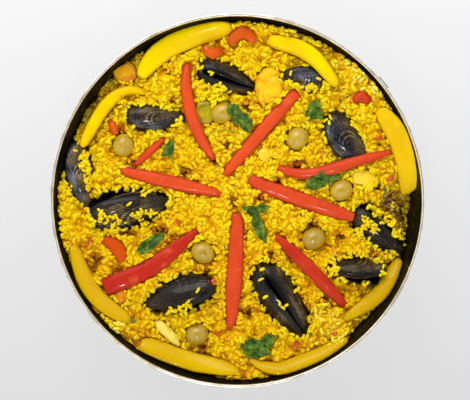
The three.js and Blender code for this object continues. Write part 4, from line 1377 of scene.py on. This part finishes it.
class RiceBed:
    """Lays grains down one by one on a height map, so that they rest on each other."""

    def __init__(self, random, under, over, soft_over, tree):
        self.random, self.over, self.tree = random, over, tree
        grid = (np.arange(SIDE) - SIDE // 2) * CELL
        x, y = np.meshgrid(grid, grid, indexing="ij")
        inside = np.hypot(x, y) < wall_radius(RICE_LEVEL + WALL_HEAP) - MM
        relief, crevices = np.zeros(x.shape), np.zeros(x.shape)
        relief[inside], crevices[inside] = clump_relief(x[inside], y[inside])
        pit = pit_share(x, y)
        self.shade = shade_of(x, y, relief, crevices, pit)
        target = core_height(x, y) + heap_height(x, y) + relief - PIT_DEPTH * pit
        self.target = target - 1.3 * CREVICE_DEPTH * crevices
        pressed = spread_extreme(under, 2, np.minimum) - PRESSED_GAP
        self.ground = np.minimum(target - CREVICE_DEPTH * crevices - GRAIN_LAYER, pressed)
        covered, soft = over > -1, soft_over > -1
        hollow = np.zeros(x.shape, bool)
        for spot in HOLLOWS:
            hollow |= seen_from(spot, x, y)[0] < 1
        open_soft = soft & ~hollow
        spill = open_soft & grown(~soft, SPILL_CELLS)
        ragged = open_soft & grown(~soft, 2 * SPILL_CELLS) & (relief > 0.7 * MM)
        self.target[ragged] = np.maximum(self.target, soft_over + 1.5 * MM)[ragged]
        for spot in CLUMPS_ON_SHELLS:
            away, turn = seen_from(spot, x, y)
            away = away * (1 + 0.28 * np.sin(3 * turn + spot[0]) + 0.2 * np.sin(5 * turn + spot[1]))
            near = soft & (away < 1)
            heaped = soft_over + 4.2 * MM * (1 - away**2)
            self.target[near] = np.maximum(self.target, heaped)[near]
            ragged |= near
        spill |= ragged
        self.shade[spill] = np.maximum(self.shade[spill], SPILL_TONE)
        self.ground[spill] = soft_over[spill]
        self.blocked = (covered & ~spill) | ~inside | (hollow & ~ragged)
        self.near = grown(covered, 3)
        reach = math.ceil(WHOLE_GRAINS[2][1] / 2 * MM / CELL)
        around = range(-reach, reach + 1)
        self.around = np.array([(i, j) for i in around for j in around])
        self.away = np.hypot(*(self.around * CELL).T)

    def clear(self, points, thick):
        """Whether a grain's middle line keeps off every topping."""
        for point in points:
            nearest, _, _, distance = self.tree.find_nearest(point, 3 * MM)
            if nearest is None:
                continue
            above, normal, _, _ = self.tree.ray_cast(point, Vector((0, 0, 1)))
            if distance < 0.05 * thick or (above is not None and normal.z > 0):
                return False
        return True

    def lay(self, x, y, length, thick, yaw, on_topping=False):
        """Rests one grain at a place in plan. Gives its middle and pitch, or None where it has no room."""
        steps = GRAIN_POINTS * length
        xs, ys = x + steps * math.cos(yaw), y + steps * math.sin(yaw)
        i, j = to_cell(xs), to_cell(ys)
        if on_topping:
            heights = np.maximum(self.ground[i, j], self.over[i, j])
        elif self.blocked[i, j].any():
            return None
        else:
            heights = self.ground[i, j]
        pitch = math.atan2(heights[3:].mean() - heights[:2].mean(), 0.63 * length)
        pitch = max(-STEEPEST, min(STEEPEST, pitch)) + self.random.uniform(-WAVER, WAVER)
        line = math.tan(pitch) * steps
        z = float((heights - line).max()) - SINKING * thick
        if (np.hypot(xs, ys) > wall_radius(z) - thick / 2 - 0.3 * MM).any():
            return None
        if float((z + line).max()) + 0.6 * thick > PAN_HEIGHT - MM:
            return None
        if not on_topping and self.near[i, j].any():
            if not self.clear([Vector(p) for p in zip(xs, ys, z + line)], thick):
                return None
        near = self.away < thick / 2
        rise = np.sqrt((thick / 2) ** 2 - self.away[near] ** 2)
        for *cell, lift in zip(i, j, line):
            a, b = (self.around[near] + cell).T
            self.ground[a, b] = np.maximum(self.ground[a, b], z + lift + rise)
        return (x, y, z), pitch

    def grain(self, x, y, long, thick, on_topping=False):
        """One grain laid at a place, as a row for scatter_mesh."""
        random = self.random
        length, width = random.uniform(*long) * MM, random.uniform(*thick) * MM
        yaw = random.uniform(0, math.pi)
        laid = self.lay(x, y, length, width, yaw, on_topping)
        if laid is None:
            return None
        i, j = to_cell(x), to_cell(y)
        # Grains that lie over the clumps' level are paler and those under it darker: painted light and shade.
        depth = (laid[0][2] - self.target[i, j]) / MM
        by_chance = random.uniform(-TONE_BY_CHANCE, TONE_BY_CHANCE)
        tone = max(0, min(1, PLAIN_TONE + LIGHT_BY_HEIGHT * depth + self.shade[i, j] + by_chance))
        roll, bend = random.uniform(-0.4, 0.4), random.uniform(-0.4, 0.4)
        return laid[0], (length, width, GRAIN_FLATNESS * width), yaw, laid[1], roll, bend, tone

    def fill(self, count, long, thick, tries):
        """Grains spread over the bed, most of them where it is lowest under its final clumps."""
        rows = []
        radius = wall_radius(RICE_LEVEL + WALL_HEAP)
        for _ in range(count):
            spots = []
            for _ in range(tries):
                reach, turn = radius * math.sqrt(self.random.random()), self.random.uniform(0, 2 * math.pi)
                x, y = reach * math.cos(turn), reach * math.sin(turn)
                i, j = to_cell(x), to_cell(y)
                if not self.blocked[i, j]:
                    spots.append((self.target[i, j] - self.ground[i, j], x, y))
            need, x, y = max(spots, default=(-1, 0, 0))
            row = self.grain(x, y, long, thick) if need >= LEAST_NEED else None
            if row:
                rows.append(row)
        return rows

    def showing(self, rows):
        """Leaves out the grains that others have buried."""
        kept = []
        for row in rows:
            (x, y, z), (length, width, _), yaw, pitch = row[:4]
            steps = np.array([-0.45, -0.2, 0, 0.2, 0.45]) * length
            i, j = to_cell(x + steps * math.cos(yaw)), to_cell(y + steps * math.sin(yaw))
            tops = z + steps * math.tan(pitch) + width / 2
            if (self.ground[i, j] - tops).min() < 0.5 * width:
                kept.append(row)
        return kept


# Patches where the rice has taken up less saffron, those at the far right also painted light over rice that
# the heap by the wall shades: place in plan and radius.
PALE_PATCHES = [
    (76, -102, 13), (99, -124, 11), (82, -118, 12), (66, -130, 9), (112, -104, 8), (118, 106, 16),
    (96, 124, 12), (-103, -115, 12), (-88, -124, 9), (-30, -143, 10), (80, 128, 9), (92, 118, 10),
    (103, 108, 10), (112, 98, 8),
]


def is_pale(row, random):
    (x, y, _) = row[0]
    return any(math.hypot(x / MM - a, y / MM - b) < r for a, b, r in PALE_PATCHES) and random.random() < 0.5


# Single grains lying on shells and strips: place in plan.
LOOSE_ON_SHELLS = [
    (-22, 109), (-24, 111), (-21, 89), (-17, 91), (-12, 89), (-27, 92), (-19, 84), (76, 69), (80, 72),
    (79, 67), (-93, -3), (-84, -12), (-79, -10), (-75, -13), (-71, -11), (-113, -19), (-108, -22),
    (-103, -24), (-98, -25), (-97, 10), (-90, 9), (-82, 8), (-76, 8), (-34, -77), (-60, -97), (-66, -99),
    (-71, -101), (-55, -95), (-49, -94), (-41, -91), (-44, -93), (-26, -92), (135, -19), (140, -26),
    (137, -31), (143, -33), (114, -33), (131, -53), (126, -57), (110, -41), (-140, 43), (-131, 39),
    (-128, 26), (-133, 30), (-57, 82), (-52, 86), (-60, 80), (36, -88), (42, -90), (39, -92), (20, -68),
    (50, -78), (43, -62), (30, -112), (24, -83), (63, -113), (57, -118), (70, 105), (46, 110), (113, 61),
    (98, -46), (79, -124), (84, -121), (88, -119), (91, -117), (94, -115), (86, -123), (90, -121),
    (82, -119), (96, -112),
]


class Draws:
    """Numbers drawn at random from a seed, the same in each run."""

    def __init__(self, seed):
        self.source = np.random.default_rng(seed)

    def uniform(self, low, high):
        return float(self.source.uniform(low, high))

    def random(self):
        return float(self.source.random())


GAP_DEPTH = 2.3 * MM  # how deep the gaps between the grains stay
LOWEST_SWELLING = 25 * MM


def close_gaps(core, bed, under):
    """Swells the core up between the grains that lie on it, as cooked rice sticks together."""
    weight = (~bed.blocked).astype(float)
    total, share = sum(shifted(bed.ground * weight, 3)), sum(shifted(weight, 3))
    level = np.where(share > 12, total / np.maximum(share, 1), 0)
    points = points_of(core)
    i, j = to_cell(points[:, 0]), to_cell(points[:, 1])
    pressed = spread_extreme(under, 2, np.minimum)[i, j] - PRESSED_GAP
    upper = np.hypot(points[:, 0], points[:, 1]) < wall_radius(RICE_LEVEL) - 3 * MM
    upper &= (points[:, 2] > LOWEST_SWELLING) & ~bed.blocked[i, j]
    swollen = np.minimum(level[i, j] - GAP_DEPTH, pressed)
    points[:, 2] = np.where(upper, np.maximum(points[:, 2], swollen), points[:, 2])
    set_points(core, points)


# The pale, middle and deep shade of each kind of rice.
RICE_KINDS = {
    "lemon": ((255, 232, 30), (254, 222, 8), (248, 194, 0)),
    "saffron": ((255, 228, 16), (254, 216, 2), (244, 182, 0)),
    "golden": ((254, 222, 8), (251, 208, 0), (238, 164, 0)),
}

PALE_RICE = ((255, 243, 104), (253, 232, 66), (242, 204, 20))


def make_rice(core, under, over, soft_over, tree):
    """Lays the loose grains, swells the core up to them and gives each kind of grain its own mesh."""
    bed = RiceBed(Draws(2), under, over, soft_over, tree)
    rows = bed.fill(*WHOLE_GRAINS)
    rows += bed.fill(*BROKEN_GRAINS)
    rows = bed.showing(rows)
    close_gaps(core, bed, under)
    for x, y in LOOSE_ON_SHELLS:
        row = bed.grain(x * MM, y * MM, LOOSE_LONG, LOOSE_THICK, on_topping=True)
        if row:
            rows.append(row)
    draws = Draws(5)
    pale = [row for row in rows if is_pale(row, draws)]
    rows = [row for row in rows if row not in pale]
    finish = rice_finish("pale_rice", *PALE_RICE, 0)
    dressed(scatter_mesh("rice_pale", grain_shape(), pale), finish, "saffron_rice")
    for k, (kind, colours) in enumerate(RICE_KINDS.items()):
        finish = rice_finish(kind + "_rice", *colours)
        grains = scatter_mesh("rice_" + kind, grain_shape(), rows[k::len(RICE_KINDS)])
        dressed(grains, finish, "saffron_rice")
    return bed


# ---- Leaves, strands and small bits ---------------------------------------------------------------

LEAF_THICK = 0.5 * MM
BLADE_RINGS = 9
BLADE_SPOKES = 60


def height_on(bed, x, y):
    """Height of whatever shows at a place: rice, grains or toppings."""
    i, j = to_cell(x), to_cell(y)
    return np.maximum(bed.ground[i, j], bed.over[i, j])


def make_blade(name, bed, at, size, turn, lobes, cut):
    """One lobed leaflet, pointed at its tip, folded along its midrib and laid over the food."""
    blade = primitive("circle", name, vertices=BLADE_SPOKES, radius=1, fill_type="TRIFAN")
    edit(blade, "EDGE")
    shape = bmesh.from_edit_mesh(blade.data)
    spokes = [edge for edge in shape.edges if not edge.is_boundary]
    bmesh.ops.subdivide_edges(shape, edges=spokes, cuts=BLADE_RINGS)
    bmesh.update_edit_mesh(blade.data)
    done_editing()
    reach, angle = polar(points_of(blade))
    notch = 1 - np.abs(np.cos(lobes * angle / 2)) ** 0.7
    teeth = 0.06 * np.abs(np.sin(8.5 * angle)) * (lobes > 1)
    radius = reach * (1 - (cut * notch + teeth) * smoothstep(reach, 0.25, 1))
    along_it = radius * np.cos(angle) * size[0] / 2 * MM
    side = radius * np.sin(angle) * size[1] / 2 * MM * (1 - 0.25 * np.cos(angle))
    cos, sin = math.cos(math.radians(turn)), math.sin(math.radians(turn))
    x = at[0] * MM + along_it * cos - side * sin
    y = at[1] * MM + along_it * sin + side * cos
    support = height_on(bed, x, y)
    level = np.percentile(support, 60)
    fold = 0.9 * MM * np.abs(side) / (size[1] * MM / 2)
    wave = 0.45 * MM * np.sin(along_it / (2.6 * MM)) * np.sin(side / (2 * MM) + 1)
    z = np.maximum(0.7 * level + 0.3 * support, support - 0.3 * MM) + 0.5 * MM + fold + wave
    set_points(blade, np.stack([x, y, z], 1))
    ribs = np.abs(np.sin(lobes * angle / 2 + 0.001))
    midrib = np.exp(-((side / (0.35 * MM)) ** 2))
    side_veins = np.exp(-((ribs * reach * 9) ** 2)) * (reach > 0.1)
    keep_value(blade, "vein", np.clip(midrib + 0.5 * side_veins, 0, 1))
    modify(blade, "SMOOTH", factor=0.5, iterations=3)
    modify(blade, "SOLIDIFY", thickness=LEAF_THICK, offset=0)
    return blade


def make_leaf(node, bed, finish):
    leaf = joined([make_blade(node + "_blade", bed, *blade) for blade in LEAVES[node]], node + "_green")
    face_outwards(leaf)
    smooth(leaf, 60)
    return dressed(leaf, finish, "herb_leaf", node)


def make_strand(name, bed, path, thick, lift, taper):
    """A thin tapering strand that lies on the food along a plan path."""
    curve = bpy.data.curves.new(name, "CURVE")
    curve.dimensions = "3D"
    curve.bevel_depth = thick * MM / 2
    curve.bevel_resolution = 2
    curve.resolution_u = 6
    curve.use_fill_caps = True
    spline = curve.splines.new("NURBS")
    spline.points.add(len(path) - 1)
    spline.order_u = 3
    spline.use_endpoint_u = True
    for k, (x, y) in enumerate(path):
        z = float(height_on(bed, x * MM, y * MM)) + (lift + thick / 2) * MM
        spline.points[k].co = (x * MM, y * MM, z, 1)
        spline.points[k].radius = 1 - taper * k / (len(path) - 1)
    choose(added(name, curve))
    bpy.ops.object.convert(target="MESH")
    return bpy.context.active_object


def make_strands(name, bed, rows, finish, slot, lift, taper):
    strands = []
    for k, (path, thick) in enumerate(rows):
        strands.append(make_strand(f"{name}_{k}", bed, path, thick, lift, taper))
    bundle = joined(strands, name)
    keep_off_wall(bundle, 0.5 * MM)
    face_outwards(bundle)
    smooth(bundle, 60)
    return dressed(bundle, finish, slot)


# Small bits scattered in the rice: colours, how many, longest size, material slot, and some known places.
BITS = {
    "pepper_pieces": ((176, 44, 12), (236, 96, 22), 9, 8.5, "red_pepper", [
        (-21, -70), (-51, -19), (51, -125), (84, -115), (-17, -115), (-90, -99), (21, 3), (122, 54),
        (132, 19), (-127, -34), (-130, -38),
    ]),
    "green_pieces": ((58, 64, 10), (128, 130, 34), 9, 8, "green_pepper", [
        (-114, 110), (-109, 103), (-120, 100), (-122, 86), (-133, 74), (89, 86), (128, 9), (131, -44),
        (-90, -104),
    ]),
    "pepper_specks": ((196, 44, 16), (236, 98, 28), 46, 3.4, "red_pepper", [
        (51, -125), (84, -115), (-17, -115), (-25, -70), (15, 2), (-2, 12), (-100, 90), (-121, -38),
        (-109, -31),
    ]),
    "onion_specks": ((222, 150, 22), (244, 190, 60), 60, 4.2, "pale_seafood", [
        (-27, 131), (84, -46), (104, 8), (34, 133),
    ]),
    "herb_specks": ((58, 62, 20), (104, 104, 40), 42, 3.0, "herb_leaf", [
        (18, 123), (20, 121), (89, 86), (83, 83), (132, 9), (-90, -101), (-97, -33), (-28, -113), (95, 89),
    ]),
    "toasted_specks": ((84, 40, 10), (150, 82, 20), 54, 2.6, "browned_seafood", [
        (-96, -52), (-90, -54), (28, 45), (-56, -101), (58, 33), (69, 63), (40, -61), (-66, -25), (85, 80),
    ]),
}


def make_bits(bed):
    random = np.random.default_rng(7)
    shape = bit_shape()
    for name, (dark, light, count, longest, slot, known) in BITS.items():
        places = [(x * MM, y * MM) for x, y in known]
        while len(places) < count:
            reach = wall_radius(RICE_LEVEL) * math.sqrt(random.random()) * 0.98
            turn = random.uniform(0, 2 * math.pi)
            x, y = reach * math.cos(turn), reach * math.sin(turn)
            if bed.over[to_cell(x), to_cell(y)] < 0:
                places.append((x, y))
        rows = []
        for x, y in places:
            long = longest * random.uniform(0.45, 1) * MM
            size = (long, long * random.uniform(0.5, 0.8), long * random.uniform(0.35, 0.6))
            z = float(height_on(bed, x, y)) + 0.1 * size[2]
            yaw, pitch = random.uniform(0, 6.3), random.uniform(-0.4, 0.4)
            rows.append(((x, y, z), size, yaw, pitch, random.uniform(0, 6.3), 0, random.random()))
        piece = scatter_mesh(name, shape, rows)
        keep_off_wall(piece, 0.4 * MM)
        dressed(piece, plain_mottled(name + "_colour", dark, light, 2 * MM), slot)


RIM_CRUMBS = [(-79.2, 3.2), (-51, 2.4), (-21.5, 2.6), (-26, 2.2), (196, 2.0), (232, 2.2)]  # degrees, size


def make_crumbs():
    """A few crumbs stuck to the bare rim."""
    rows = []
    reach = RIM_RADIUS - 1.6 * BEAD
    for k, (angle, size) in enumerate(RIM_CRUMBS):
        turn = math.radians(angle)
        middle = (reach * math.cos(turn), reach * math.sin(turn), PAN_HEIGHT - 0.45 * size * MM)
        rows.append((middle, (size * MM, 0.6 * size * MM, 0.5 * size * MM), turn + 1.2 + k, 0, 0, 0, 0.5))
    crumbs = scatter_mesh("rim_crumbs", bit_shape(), rows)
    dressed(crumbs, plain_mottled("crumb", (206, 132, 20), (240, 190, 70), 1.5 * MM), "saffron_rice")


# ---- Putting it together --------------------------------------------------------------------------


def nodes_of(kind):
    """The names of the solids whose names start with a kind."""
    return [name for name in sorted(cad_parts) if name.startswith(kind)]


make_pan()
make_rim()
make_bracket()

shell = shell_finish()
meat = flesh_finish("mussel_meat", (92, 54, 20), (58, 34, 16), (24, 15, 10))
for key in MUSSELS:
    make_mussel(key, shell, meat)
olive = olive_finish()
for node in nodes_of("olive_"):
    make_olive(node, olive)

yellow = pepper_finish("yellow_pepper", (255, 221, 0), (222, 168, 0), (250, 222, 30), (255, 234, 20))
# The yellow strips at the near side take a darker copy of the yellow pepper finish: painted shade.
golden = pepper_finish("golden_pepper", (232, 195, 0), (212, 168, 0), (226, 186, 8), (240, 206, 0), 0.22)
red = pepper_finish("red_pepper", (227, 84, 38), (190, 44, 30), (236, 128, 24), (238, 113, 68))
orange = pepper_finish("orange_pepper", (230, 100, 24), (200, 72, 12), (240, 144, 20), (238, 132, 48))
SHADED_YELLOW_STRIPS = ("yellow_lower_right", "yellow_bottom_right", "yellow_bottom_left", "yellow_lower_left")
ORANGE_BITS = ("red_bit_top", "red_bit_top_left", "red_bit_upper_left", "red_bit_lower_left")
for node in nodes_of("yellow_"):
    make_strip(node, golden if node in SHADED_YELLOW_STRIPS else yellow, "yellow_pepper")
for node in nodes_of("red_"):
    make_strip(node, orange if node in ORANGE_BITS else red, "red_pepper")

amber = flesh_finish("browned_seafood", (244, 184, 2), (234, 160, 0), (210, 122, 2))
pale = flesh_finish("pale_seafood", (252, 222, 62), (248, 206, 24), (238, 176, 10))
squid = flesh_finish("squid_flesh", (248, 232, 124), (244, 222, 84), (222, 180, 36))
green = flesh_finish("green_pepper", (208, 186, 26), (172, 156, 20), (120, 112, 22), 0.24)
tentacle = plain_mottled("tentacle_skin", (96, 60, 22), (168, 122, 44), 3 * MM, 0.35, 0.6)
# The chunks: finish, material slot, then size and height of their unevenness in mm.
LUMPS = {
    "seafood_upper_left": (amber, "browned_seafood", 8, 1.6),
    "seafood_lower_left": (amber, "browned_seafood", 8, 1.4),
    "seafood_right": (pale, "pale_seafood", 7, 1.6),
    "seafood_centre": (pale, "pale_seafood", 6, 1.2),
    "squid_strip": (squid, "pale_seafood", 5, 1.4),
    "green_pepper_upper": (green, "green_pepper", 9, 1.0),
    "green_pepper_left": (green, "green_pepper", 9, 1.0),
    "squid_tentacles": (tentacle, "dark_squid", 3, 1.6),
}
for node, lump in LUMPS.items():
    make_lump(node, *lump)
prawn = prawn_finish()
make_prawn(prawn)
make_flake("flesh_flake", prawn, (30, 96, 1), (17, 25, 9), -12)

toppings = [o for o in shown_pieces() if o.get("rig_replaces") and not o.name.startswith(("pan", "handle"))]
toppings += [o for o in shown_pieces() if o.name.startswith(("meat_", "flesh_flake"))]
CRISP = ("olive", "yellow", "red", "prawn", "squid_strip")  # no rice spills over the edges of these
_, soft_over, _ = map_toppings([o for o in toppings if not o.name.startswith(CRISP)])
under, over, topping_tree = map_toppings(toppings)
core = make_core(under)
bed = make_rice(core, under, over, soft_over, topping_tree)

leaf = leaf_finish()
for node in LEAVES:
    make_leaf(node, bed, leaf)
stalk = plain_mottled("leaf_stalk", (120, 132, 30), (164, 166, 48), 3 * MM)
whisker = plain_mottled("whisker", (214, 92, 20), (240, 140, 40), 3 * MM)
tip = plain_mottled("tentacle_tip", (92, 60, 26), (176, 132, 52), 2 * MM, 0.35, 0.6)
make_strands("leaf_stalks", bed, LEAF_STALKS, stalk, "herb_leaf", 0.1, 0.4)
make_strands("prawn_whiskers", bed, PRAWN_WHISKERS, whisker, "prawn_flesh", 0.2, 0.6)
make_strands("tentacle_tips", bed, TENTACLE_TIPS, tip, "dark_squid", 0, 0.6)
make_bits(bed)
make_crumbs()

# ---- Table, light and camera ----------------------------------------------------------------------

CAMERA_HEIGHT = 962 * MM
CAMERA_ASIDE = (-2.14 * MM, 0.43 * MM)
VIEW_WIDTH = 400.2 * MM  # what the picture spans at the height of the rim
SENSOR = 36.0
LAMP_AIM = Vector((0, 0, 40 * MM))
# Place and size of each lamp in metres, and its power in watts.
LAMPS = {
    "window": ((-0.1, -0.62, 1.08), (0.11, 0.05), 2.6),
    "upper_left_fill": ((-0.35, 1.0, 1.05), (1.1, 0.8), 9),
}


def make_table():
    table = primitive("plane", "table", size=6)
    # The table glows by itself, brighter towards the far side: painted light that stands in for light falling
    # off towards the near side and lifts the pan's shadow.
    finish = new_finish("lit_table", Roughness=0.8, Specular_IOR_Level=0.1, Emission_Strength=0.85)
    wire(finish, "Base Color", shades(finish, clouds(finish, 0.4), (0.3, (88, 88, 88)), (0.7, (92, 92, 92))))
    slope = weighted(finish, (along(finish, "Y"), 1), (along(finish, "X"), -0.05))
    glow = shades(finish, spread(finish, slope, -0.2, 0.2), (0, (221, 221, 222)), (1, (251, 251, 251)))
    wire(finish, "Emission Color", glow)
    table.data.materials.append(finish)


def make_lamp(name, location, size, power):
    """A rectangular softbox, turned to the food."""
    light = bpy.data.lights.new(name, "AREA")
    light.shape = "RECTANGLE"
    light.size, light.size_y = size
    light.energy = power
    lamp = added(name, light)
    lamp.location = location
    lamp.rotation_euler = (LAMP_AIM - Vector(location)).to_track_quat("-Z", "Y").to_euler()


def make_sky():
    """Even white light from all round, with a dark patch straight overhead where the cook leans in."""
    world = bpy.data.worlds.new("studio")
    world.use_nodes = True
    direction = add_node(world, "ShaderNodeTexCoord").outputs["Generated"]
    upward = add_node(world, "ShaderNodeSeparateXYZ", {0: direction}).outputs["Z"]
    ramp = add_node(world, "ShaderNodeValToRGB", {"Fac": upward})
    for element, position, light in zip(ramp.color_ramp.elements, (0.74, 0.9), (1, 0.12)):
        element.position = position
        element.color = (light, light, light, 1)
    background = world.node_tree.nodes["Background"]
    world.node_tree.links.new(ramp.outputs["Color"], background.inputs["Color"])
    background.inputs["Strength"].default_value = 1.06
    bpy.context.scene.world = world


def make_camera():
    camera = bpy.data.cameras.new("camera")
    camera.sensor_width = SENSOR
    camera.lens = SENSOR * (CAMERA_HEIGHT - PAN_HEIGHT) / VIEW_WIDTH
    viewer = added("camera", camera)
    viewer.location = (*CAMERA_ASIDE, CAMERA_HEIGHT)
    bpy.context.scene.camera = viewer


make_table()
make_sky()
for name, lamp in LAMPS.items():
    make_lamp(name, *lamp)
make_camera()
bpy.context.scene.view_settings.view_transform = "Standard"
